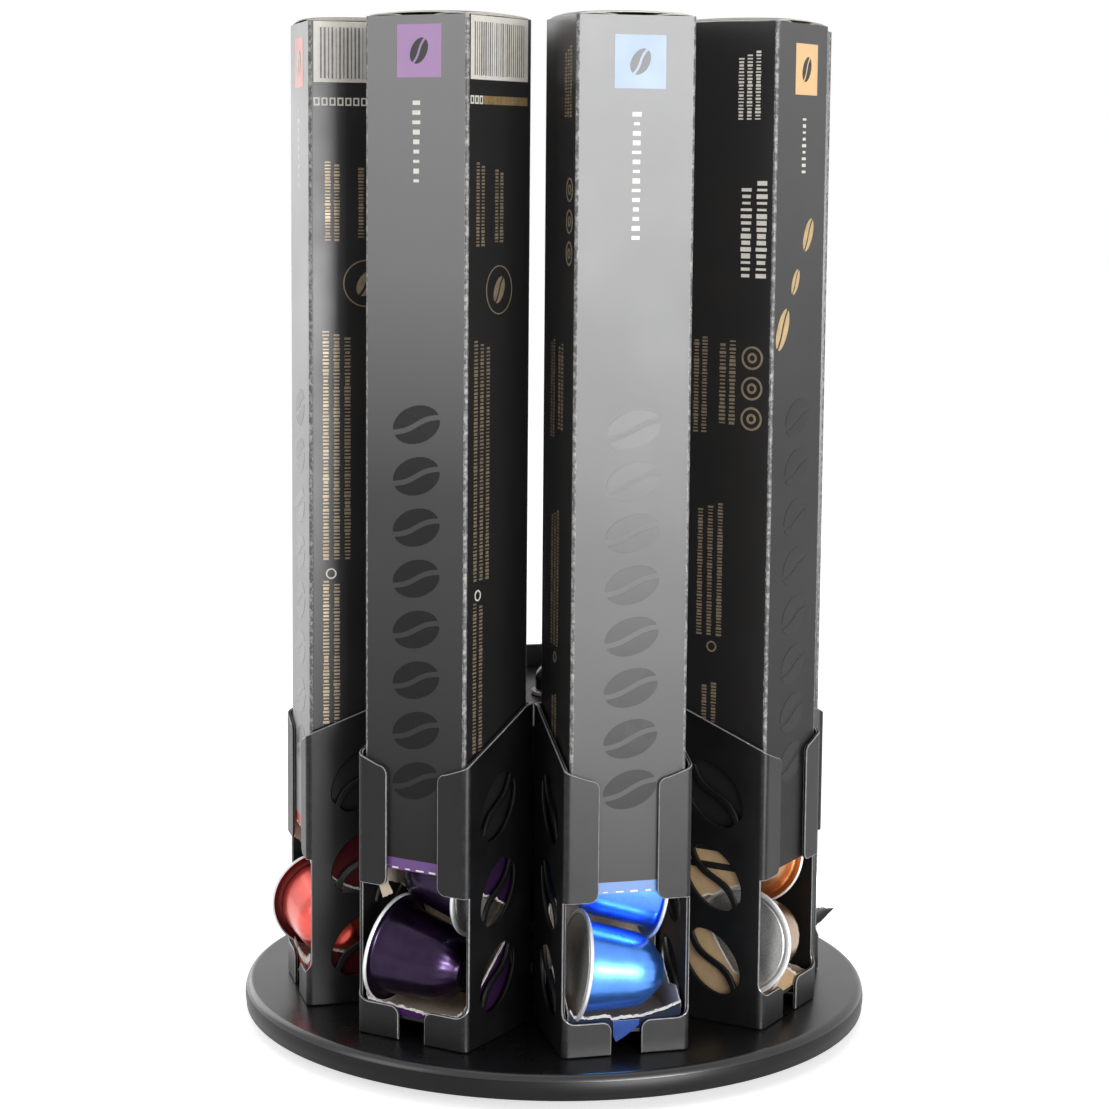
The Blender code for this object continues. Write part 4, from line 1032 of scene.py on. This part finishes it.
def folded_sleeve(number):
    """Cuts, slices and folds a sleeve, with a torn ply along each side."""
    front_tear = FRONT_TEARS.get(number, FRONT_TEAR)
    band_top = front_tear + BAND_HEIGHT if number != 2 else 0.0
    foot_top = FOOT_TOPS.get(number, FRONT_TEAR + BAND_HEIGHT)
    stripe = FOOT_STRIPES.get(number, (0.0, 0.0))
    sleeve = cut_blank(sleeve_outline(10 * number, front_tear), (), CARD, CARD_EDGE)
    for level in (foot_top, band_top, *stripe):
        slice_at(sleeve, (0, level, 0), (0, 1, 0))
    slice_bends(sleeve, carton_fold, 5)
    for face in sleeve.faces:
        face.material_index = sleeve_look(face, band_top, foot_top, stripe)
    for side, seed in ((1, 10 * number), (-1, 10 * number + 1)):
        line = [(side * along, up) for along, up in torn_side(seed, front_tear)]
        add_mesh(sleeve, torn_ply(line, 0.0007, seed, CARD, CUT))
    return carry_round(sleeve, carton_fold, CARTON_BOTTOM)


# %% The top: two dust flaps and a lid that bulges between the folds
FLAP_CARD, FLAP_LOW = 0.00035, 0.3388


def curved_flap(low, high, rise, look, steps=14):
    """A thin sheet over a rectangle (X, Y), arched by rise above its edges; closed, with cut edges."""
    shape = bmesh.new()

    def corner(level, row, column):
        u, v = column / steps, row / steps
        arch = (1 - (2 * u - 1) ** 2) ** 0.7 * 0.55 + (1 - (2 * v - 1) ** 2) ** 0.7 * 0.45
        return shape.verts.new((low[0] + (high[0] - low[0]) * u, low[1] + (high[1] - low[1]) * v,
                                low[2] + rise * arch + level * FLAP_CARD))

    grid = [[[corner(level, row, column) for column in range(steps + 1)] for row in range(steps + 1)]
            for level in (0, 1)]
    for rows, side_look in zip(grid, (KRAFT, look)):
        for row in range(steps):
            for column in range(steps):
                corners = [rows[row][column], rows[row][column + 1], rows[row + 1][column + 1],
                           rows[row + 1][column]]
                shape.faces.new(corners).material_index = side_look
    edges = [(rows[0], rows[steps], [row[0] for row in rows], [row[steps] for row in rows]) for rows in grid]
    for step in range(steps):
        for under, over in zip(*edges):
            corners = [under[step], under[step + 1], over[step + 1], over[step]]
            shape.faces.new(corners).material_index = CUT
    bmesh.ops.recalc_face_normals(shape, faces=shape.faces)
    return as_mesh(shape, "flap")


def closed_top(sleeve):
    for side, look in ((1, KRAFT), (-1, SIDE_PRINT)):
        inner, outer = sorted((side * (CARTON_HALF - 0.0135), side * (CARTON_HALF - 0.0006)))
        add_mesh(sleeve, curved_flap((inner, -CARTON_FRONT + 0.0012, FLAP_LOW + 0.0004),
                                     (outer, -CARTON_BACK - 0.0012), 0.0013, look))
    return add_mesh(sleeve, curved_flap((-CARTON_HALF + 0.0012, -CARTON_FRONT + 0.0008, FLAP_LOW + 0.0008),
                                        (CARTON_HALF - 0.0012, -CARTON_BACK - 0.0004), 0.0016, SIDE_PRINT))


# %% The print on a carton's front
LABEL_PLACES = {1: (-0.0070, 0.3174), 2: (-0.0057, 0.3170), 8: (-0.0070, 0.3205)}
PLAIN_LABEL, LABEL_SIZE = (-0.0082, 0.3185), 0.0163
NAME_ROWS = {1: (14, 0.0029), 2: (9, 0.0021), 8: (9, 0.0030)}
PLAIN_NAME = (9, 0.0030)
BIG_BEANS, BIG_BEAN_LOW, BIG_BEAN_STEP, BIG_BEAN_ANGLE = 8, 0.0985, 0.0163, 18
# Sizes of printed beans, (length, width).
LABEL_BEAN, BIG_BEAN = (0.0088, 0.0058), (0.0185, 0.0118)
BADGE_BEAN, GOLD_BEAN = (0.0092, 0.0056), (0.0150, 0.0075)


def bean_marks(face, look, size, centre, angle=60, lift=0):
    """A plain bean: two half ovals each side of a slightly waved gap."""
    length, width = size
    return [(face, print_slab(turn_outline(half, math.radians(angle), centre)), look, (0, 0, lift))
            for half in bean_outlines(length, width, width * 0.14, width * 0.05, 12)]


def carton_marks(number):
    """A list of (face, mesh, look, place) for one carton's front."""
    left, low = LABEL_PLACES.get(number, PLAIN_LABEL)
    label = rectangle((left, low), (left + LABEL_SIZE, low + LABEL_SIZE))
    marks = [("front", print_slab(label), LABEL, (0, 0, 0))]
    marks += bean_marks("front", MARK, LABEL_BEAN, (left + LABEL_SIZE / 2, low + LABEL_SIZE / 2),
                        lift=INK_DEPTH)
    count, step = NAME_ROWS.get(number, PLAIN_NAME)
    dots = row_of_marks(count, step, (0.30 * step, 0.55 * step), (0.0018, 0.0030), cream_ink, 3 + number)
    turn_up = Matrix.Rotation(-math.pi / 2, 4, "Z")
    marks.append(("front", dots, CREAM, Matrix.Translation((left + 0.0072, low - 0.0078, 0)) @ turn_up))
    for row in range(BIG_BEANS):
        centre = (0.0005, BIG_BEAN_LOW + BIG_BEAN_STEP * row)
        marks += bean_marks("front", MARK, BIG_BEAN, centre, BIG_BEAN_ANGLE)
    if number != 2:
        dashes = row_of_marks(8, 0.0047, (0.0016, 0.0030), (0.0003, 0.0007), cream_ink, 5 + number)
        tear = CARTON_BOTTOM + FRONT_TEARS.get(number, FRONT_TEAR)
        marks.append(("front", dashes, CREAM, (-0.0165, tear + 0.0006, INK_DEPTH)))
    return marks


# %% The print on a carton's sides
# Each rule of a side is (lowest mark, marks, columns, distance from the spindle, gap, size, look).
RULES = {
    "right": ((0.1640, 66, 3, 0.0842, 0.0036, 1.1, BRONZE), (0.1090, 42, 2, 0.0842, 0.0036, 1.1, BRONZE),
              (0.2690, 25, 2, 0.0835, 0.0030, 1.0, BRONZE), (0.2700, 22, 2, 0.0725, 0.0030, 1.0, BRONZE)),
    "left": ((0.3090, 21, 3, 0.0830, 0.0030, 1.0, CREAM), (0.2593, 15, 2, 0.0850, 0.0055, 2.0, CREAM),
             (0.2085, 30, 2, 0.0655, 0.0030, 1.0, BRONZE), (0.2117, 22, 2, 0.0755, 0.0035, 1.2, BRONZE),
             (0.1420, 42, 3, 0.0720, 0.0036, 1.0, BRONZE), (0.1110, 15, 2, 0.0705, 0.0034, 1.0, BRONZE))}


def ring_mark(face, width, wall, centre, look=BRONZE):
    outer, inner = [on_circle(across / 2, full_turn(28), centre) for across in (width, width - 2 * wall)]
    return face, print_slab(outer, [inner]), look, (0, 0, 0)


def ruled_lines(number, face):
    """Columns of short marks. The left side of carton 1 is the dim one: it has no cream, and no second
    block."""
    marks = []
    way = -1 if face == "right" else 1
    seed = 11 * number + (face == "left")
    turn_up = Matrix.Rotation(math.pi / 2, 4, "Z")
    dim = number == 1 and face == "left"
    for block, (low, count, columns, distance, gap, size, look) in enumerate(RULES[face]):
        if dim and block == 1:
            continue
        look = BRONZE if dim else look
        for column in range(columns):
            line = row_of_marks(count - column, 0.00105 * size, (0.00035 * size, 0.0008 * size),
                                (0.0014 * size, 0.0020 * size), bronze_ink if look == BRONZE else cream_ink,
                                seed + 7 * block + column)
            place = Matrix.Translation((way * (distance - gap * column), low, 0))
            marks.append((face, line, look, place @ turn_up))
    return marks


# %% The panel of bars, and all the marks of a side
BARRED, SQUARES, SQUARE_STEP, SQUARE_WALL = (7, 8), 13, 0.0026, 0.0005


def bar_panel(number):
    """A pale panel of bars at the top of the right side, over a row of small squares."""
    start = -CARTON_FRONT + 0.0016
    panel = rectangle((start, 0.3199), (start + 0.0338, 0.3394))
    bars = row_of_marks(24, 0.00125, (0.00015, 0.00075), (0.0160, 0.0166), bar_ink, 11 * number)
    marks = [("right", print_slab(panel), CREAM, (0, 0, 0)),
             ("right", bars, BARS, (start + 0.0024, 0.3293, INK_DEPTH))]
    for square in range(SQUARES):
        filled = number == 8 and square > 2
        left, low = start + SQUARE_STEP * square, 0.3124
        right, high = left + (0.0024 if filled else 0.0020), 0.3150
        hollow = rectangle((left + SQUARE_WALL, low + SQUARE_WALL), (right - SQUARE_WALL, high - SQUARE_WALL))
        square_mark = print_slab(rectangle((left, low), (right, high)), [] if filled else [hollow])
        marks.append(("right", square_mark, GOLD if filled else CREAM, (0, 0, 0)))
    return marks


def side_marks(number, face):
    """Ruled lines, rings and, on some cartons, the panel of bars."""
    marks = ruled_lines(number, face)
    if face == "right":
        badge = (-0.0707, 0.2548)
        marks += [ring_mark(face, 0.0155, 0.0004, badge), *bean_marks(face, BRONZE, BADGE_BEAN, badge),
                  ring_mark(face, 0.0036, 0.0005, (-0.0825, 0.1590), CREAM)]
    else:
        low = 0.2668 if number == 1 else 0.2134
        for row in range(3):
            centre = (0.0825, low + 0.0098 * row)
            marks += [ring_mark(face, 0.0076, 0.0007, centre), ring_mark(face, 0.0034, 0.0008, centre)]
        marks.append(ring_mark(face, 0.0036, 0.0005, (0.0695, 0.1380)))
    if number in BARRED and face == "right":
        marks += bar_panel(number)
    return marks


# %% Put each carton together
GOLD_BEANS, INK_LIFT = (1.0, 0.62, 0.8), 0.00003
SCRAP = ((-0.0165, 0.0640), (-0.0138, 0.0622), (-0.0122, 0.0582), (-0.0084, 0.0604), (-0.0102, 0.0632))
for number in LOADED:
    carton = closed_top(folded_sleeve(number))
    marks = carton_marks(number) + side_marks(number, "right") + side_marks(number, "left")
    if number == 2:
        for row, size in enumerate(GOLD_BEANS):
            marks += bean_marks("front", GOLD, [part * size for part in GOLD_BEAN],
                                (-0.0120 + 0.0090 * row, 0.2420 + 0.0150 * row))
    if number == 8:
        scrap = cut_blank([(-0.0165, 0.0705), *ragged(SCRAP, 6), (-0.0108, 0.0705)], (), TORN_CARD, CARD_EDGE)
        marks.append(("front", as_mesh(scrap, "scrap"), KRAFT, (0, 0, -0.0006)))
    for face, data, look, where in marks:
        move = where if isinstance(where, Matrix) else Matrix.Translation(where)
        add_mesh(carton, data, look, FACES[face] @ Matrix.Translation((0, 0, INK_LIFT)) @ move)
    bmesh.ops.transform(carton, matrix=to_bay(number), verts=carton.verts)
    hand_over(f"carton_{number}_printed", carton,
              [fronts[number], dark_side, kraft, cut_card, fold_card, labels[number], spots[number],
               cream_ink, bronze_ink, gold_ink, bands[number], bar_ink, side_shaded_feet[number]],
              f"carton_{number}", [f"carton_{number}"], angle=20)

# %% [markdown]
# ## The torn foot of each carton
# The bottom of a carton stays on the floor of its bay when the sleeve is lifted, because it was torn
# loose along the perforation. It is a shallow tray of brown card with a ragged, pale front edge.

# %% Where each tray is torn: its front as (across, height), its sides as (distance from the spindle, height)
TRAY_BOTTOM, TRAY_HALF, TRAY_FRONT = 0.0206, 0.0186, CARTON_FRONT - 0.0002
FRONT_EDGES = {
    1: ((-0.0184, 0.0285), (-0.0170, 0.0260), (-0.0120, 0.0254), (-0.0053, 0.0256), (-0.0045, 0.0247),
        (0.0056, 0.0250), (0.0130, 0.0268), (0.0184, 0.0288)),
    2: ((-0.0184, 0.0228), (-0.0110, 0.0230), (-0.0060, 0.0252), (-0.0007, 0.0292), (0.0045, 0.0262),
        (0.0088, 0.0234), (0.0184, 0.0224)),
    7: ((-0.0184, 0.0262), (-0.0100, 0.0246), (0.0020, 0.0252), (0.0110, 0.0262), (0.0184, 0.0300)),
    8: ((-0.0184, 0.0262), (-0.0176, 0.0246), (-0.0120, 0.0240), (-0.0008, 0.0236), (0.0049, 0.0228),
        (0.0163, 0.0236), (0.0184, 0.0258))}
PLAIN_FRONT = ((-0.0184, 0.0265), (-0.0150, 0.0246), (-0.0060, 0.0250), (0.0060, 0.0244), (0.0140, 0.0256),
               (0.0184, 0.0278))
SIDE_EDGES = {
    (2, 1): ((0.0605, 0.0300), (0.0700, 0.0252), (0.0886, 0.0222)),
    (2, -1): ((0.0605, 0.0400), (0.0640, 0.0490), (0.0680, 0.0472), (0.0790, 0.0308), (0.0886, 0.0272)),
    (8, 1): ((0.0605, 0.0400), (0.0625, 0.0440), (0.0661, 0.0415), (0.0793, 0.0312), (0.0886, 0.0262))}
PLAIN_SIDE = ((0.0605, 0.0330), (0.0680, 0.0360), (0.0760, 0.0300), (0.0830, 0.0315), (0.0886, 0.0272))
PLY_WIDTH, PLY_WIDTHS = 0.0009, {7: 0.0024}
print("trays with their own front edge", sorted(FRONT_EDGES))


# %% Make the trays
def card_looks(shape, printed=0):
    """Brown card with pale cut edges, and its own look on the outside if it is printed."""
    for face in shape.faces:
        face.material_index = 1 if abs(face.normal.z) < 0.5 else printed if face.normal.z > 0 else 0


def moved(shape, matrix):
    bmesh.ops.transform(shape, matrix=matrix, verts=shape.verts)
    bmesh.ops.recalc_face_normals(shape, faces=shape.faces)
    return shape


def tray_wall(points, seed, place, look, ply):
    """One wall: print with painted shade outside, brown inside, a pale torn ply along its top. place carries
    it to the tray.
    """
    line = ragged(points, seed)
    wall = cut_blank([(line[0][0], TRAY_BOTTOM), (line[-1][0], TRAY_BOTTOM), *line[::-1]], (), TORN_CARD,
                     CARD_EDGE)
    card_looks(wall, look)
    add_mesh(wall, torn_ply([(along, up - ply) for along, up in line], ply, seed, TORN_CARD, 1))
    return as_mesh(moved(wall, place), "tray_wall")


def tray(number):
    shape = plate(bmesh.new(), (-TRAY_HALF, -TRAY_FRONT, TRAY_BOTTOM),
                  (TRAY_HALF, -CARTON_BACK - 0.0086, TRAY_BOTTOM + TORN_CARD), 0.00008, 1)
    # The walls take the foot print darkened as painted shade; the first tray's front wall takes the darker
    # side colour.
    add_mesh(shape, tray_wall(FRONT_EDGES.get(number, PLAIN_FRONT), 90 + number, facing_front(TRAY_FRONT),
                              3 if number == 1 else 2, PLY_WIDTHS.get(number, PLY_WIDTH)))
    for side in (1, -1):
        add_mesh(shape, tray_wall(SIDE_EDGES.get((number, side), PLAIN_SIDE), 40 * side + number,
                                  facing_side(side, TRAY_HALF, -1), 3, PLY_WIDTH))
    return shape


for number in LOADED:
    shape = tray(number)
    bmesh.ops.transform(shape, matrix=to_bay(number), verts=shape.verts)
    made = hand_over(f"torn_tray_{number}", shape, [kraft, cut_card, shaded_feet[number], side_shaded_feet[number]],
                     "turntable")

# %% The torn tab that hangs in the notch of the first bay, curled outwards at its free end
TAB = ((-0.0042, 0.0236), (-0.0042, 0.0188), (-0.0034, 0.0170), (-0.0006, 0.0184), (0.0026, 0.0204),
       (0.0044, 0.0220), (0.0044, 0.0236))
TAB_DISTANCE, TAB_CURL = 0.0902, 0.0007
scrap = cut_blank(TAB, (), TORN_CARD, CARD_EDGE)
bmesh.ops.subdivide_edges(scrap, edges=scrap.edges, cuts=1)
card_looks(scrap)
high, low = TAB[0][1], TAB[2][1]
for vert in scrap.verts:
    curl = TAB_CURL * ((high - vert.co.y) / (high - low)) ** 2
    vert.co = Vector((vert.co.x, -(TAB_DISTANCE + vert.co.z + curl), vert.co.y))
bmesh.ops.recalc_face_normals(scrap, faces=scrap.faces)
bmesh.ops.transform(scrap, matrix=to_bay(1), verts=scrap.verts)
# The tab's print is the first carton's foot colour, darkened as painted shade.
made = hand_over("torn_tab_1", scrap, [shaded_feet[1], cut_card], "turntable")

# %% A flap of the third tray's side that sticks out of its window
FLAP = ((0.0850, 0.0262), (0.0890, 0.0262), (0.0925, 0.0292), (0.0972, 0.0336), (0.0935, 0.0338),
        (0.0895, 0.0325), (0.0850, 0.0300))
flap = cut_blank(ragged(FLAP, 3, 0.0001, 4), (), TORN_CARD, CARD_EDGE)
card_looks(flap)
moved(flap, to_bay(3) @ facing_side(-1, TRAY_HALF, -1))
made = hand_over("torn_flap_3", flap, [fronts[8], cut_card], "turntable")
print("pieces", len(pieces_made))

# %% Finishes for the solids that stay
spindle_nut = bpy.data.objects.get("spindle_nut")
if spindle_nut:
    spindle_nut.data.materials.clear()
    spindle_nut.data.materials.append(zinc_plate)

# %% [markdown]
# ## Floor, backdrop, lights and camera
# A pale floor and a white world stand in for the photographer's table. Both read Light Path, so they
# show white to the camera and in reflections while they light the part gently, and the floor still
# takes the part's shadow.

# %% Floor and world
FLOOR_REACH, FLOOR_GLOW, WORLD_LIGHT = 6.0, 0.64, 0.42


def seen_directly(tree):
    """Gives 1 for a ray that shows a surface: from the camera, in a reflection or through glass."""
    path = add_node(tree, "ShaderNodeLightPath")
    seen, seen_all = [add_node(tree, "ShaderNodeMath", operation="ADD", use_clamp=True) for _ in range(2)]
    wire(tree, (path, "Is Camera Ray", seen, 0), (path, "Is Glossy Ray", seen, 1), (seen, 0, seen_all, 0),
         (path, "Is Transmission Ray", seen_all, 1))
    return seen_all


floor_data = bpy.data.meshes.new("floor")
corners = rectangle((-FLOOR_REACH, -FLOOR_REACH), (FLOOR_REACH, FLOOR_REACH))
floor_data.from_pydata([(x, y, 0) for x, y in corners], [], [(0, 1, 2, 3)])
floor = in_scene("floor", floor_data)
pale = bpy.data.materials.new("pale_floor")
pale.use_nodes = True
tree = pale.node_tree
shader = tree.nodes["Principled BSDF"]
set_inputs(shader, {"Base Color": (0.86, 0.86, 0.86, 1), "Roughness": 0.7, "Emission Color": (1, 1, 1, 1)})
glow = add_node(tree, "ShaderNodeMath", operation="MULTIPLY")
glow.inputs[1].default_value = FLOOR_GLOW
wire(tree, (seen_directly(tree), 0, glow, 0), (glow, 0, shader, "Emission Strength"))
floor_data.materials.append(pale)

world = bpy.data.worlds.new("studio")
bpy.context.scene.world = world
world.use_nodes = True
tree = world.node_tree
background = tree.nodes["Background"]
background.inputs["Color"].default_value = (1, 1, 1, 1)
level = add_node(tree, "ShaderNodeMapRange", To_Min=WORLD_LIGHT, To_Max=1.0)
wire(tree, (seen_directly(tree), 0, level, "Value"), (level, "Result", background, "Strength"))
print("floor glow", FLOOR_GLOW, "world light", WORLD_LIGHT)


# %% Soft boxes
def soft_box(name, place, target, size, power, sheen_only=False):
    """An area lamp. One that is sheen only shows in gloss and adds nothing to matt colours."""
    light = bpy.data.lights.new(name, "AREA")
    light.shape = "RECTANGLE"
    light.size, light.size_y = size
    light.energy = power
    lamp = in_scene(name, light)
    lamp.location = place
    lamp.rotation_euler = (Vector(target) - Vector(place)).to_track_quat("-Z", "Y").to_euler()
    lamp.visible_camera = False
    lamp.visible_diffuse = not sheen_only
    return lamp


# Each soft box is (place, target, size, power, sheen only).
SOFT_BOXES = {"key_right": ((0.38, -1.45, 0.32), (0, 0, 0.15), (0.9, 0.6), 11.0),
              "key_sheen": ((0.42, -1.40, 0.17), (0, 0, 0.10), (0.7, 0.3), 30.0, True),
              "fill_left": ((-1.40, -0.30, 0.75), (0, 0, 0.20), (0.8, 0.8), 4.0),
              "back_left": ((-0.60, 1.45, 0.60), (0, 0, 0.20), (0.9, 1.0), 5.0),
              "top": ((0.1, 0.2, 1.7), (0, 0, 0.1), (1.2, 1.2), 5.0)}
for name, box in SOFT_BOXES.items():
    soft_box(name, *box)
print("soft boxes", len(SOFT_BOXES))

# %% The camera, from a fit of the photograph's edges
CAMERA_DISTANCE, CAMERA_HEIGHT, PITCH, ROLL = 0.89163, 0.28217 + DISC_TOP, 6.626, 0.500
AZIMUTH, YAW, FOCAL_PIXELS, PHOTO_PIXELS, SENSOR, SHIFT = -14.725, -0.094, 2606.73, 1109, 36, -0.08
camera_data = bpy.data.cameras.new("camera")
camera_data.sensor_width = SENSOR
camera_data.lens = FOCAL_PIXELS / PHOTO_PIXELS * SENSOR
camera_data.shift_y = SHIFT
camera_data.clip_start, camera_data.clip_end = 0.05, 30
camera = in_scene("camera", camera_data)
bearing = math.radians(AZIMUTH)
camera.location = (CAMERA_DISTANCE * math.sin(bearing), -CAMERA_DISTANCE * math.cos(bearing), CAMERA_HEIGHT)
aim = (Matrix.Rotation(math.radians(AZIMUTH - YAW), 3, "Z")
       @ Matrix.Rotation(math.radians(90 - PITCH), 3, "X") @ Matrix.Rotation(math.radians(ROLL), 3, "Z"))
camera.rotation_euler = aim.to_euler()
bpy.context.scene.camera = camera
bpy.context.scene.view_settings.view_transform = "Standard"
print("camera", tuple(round(part, 4) for part in camera.location))
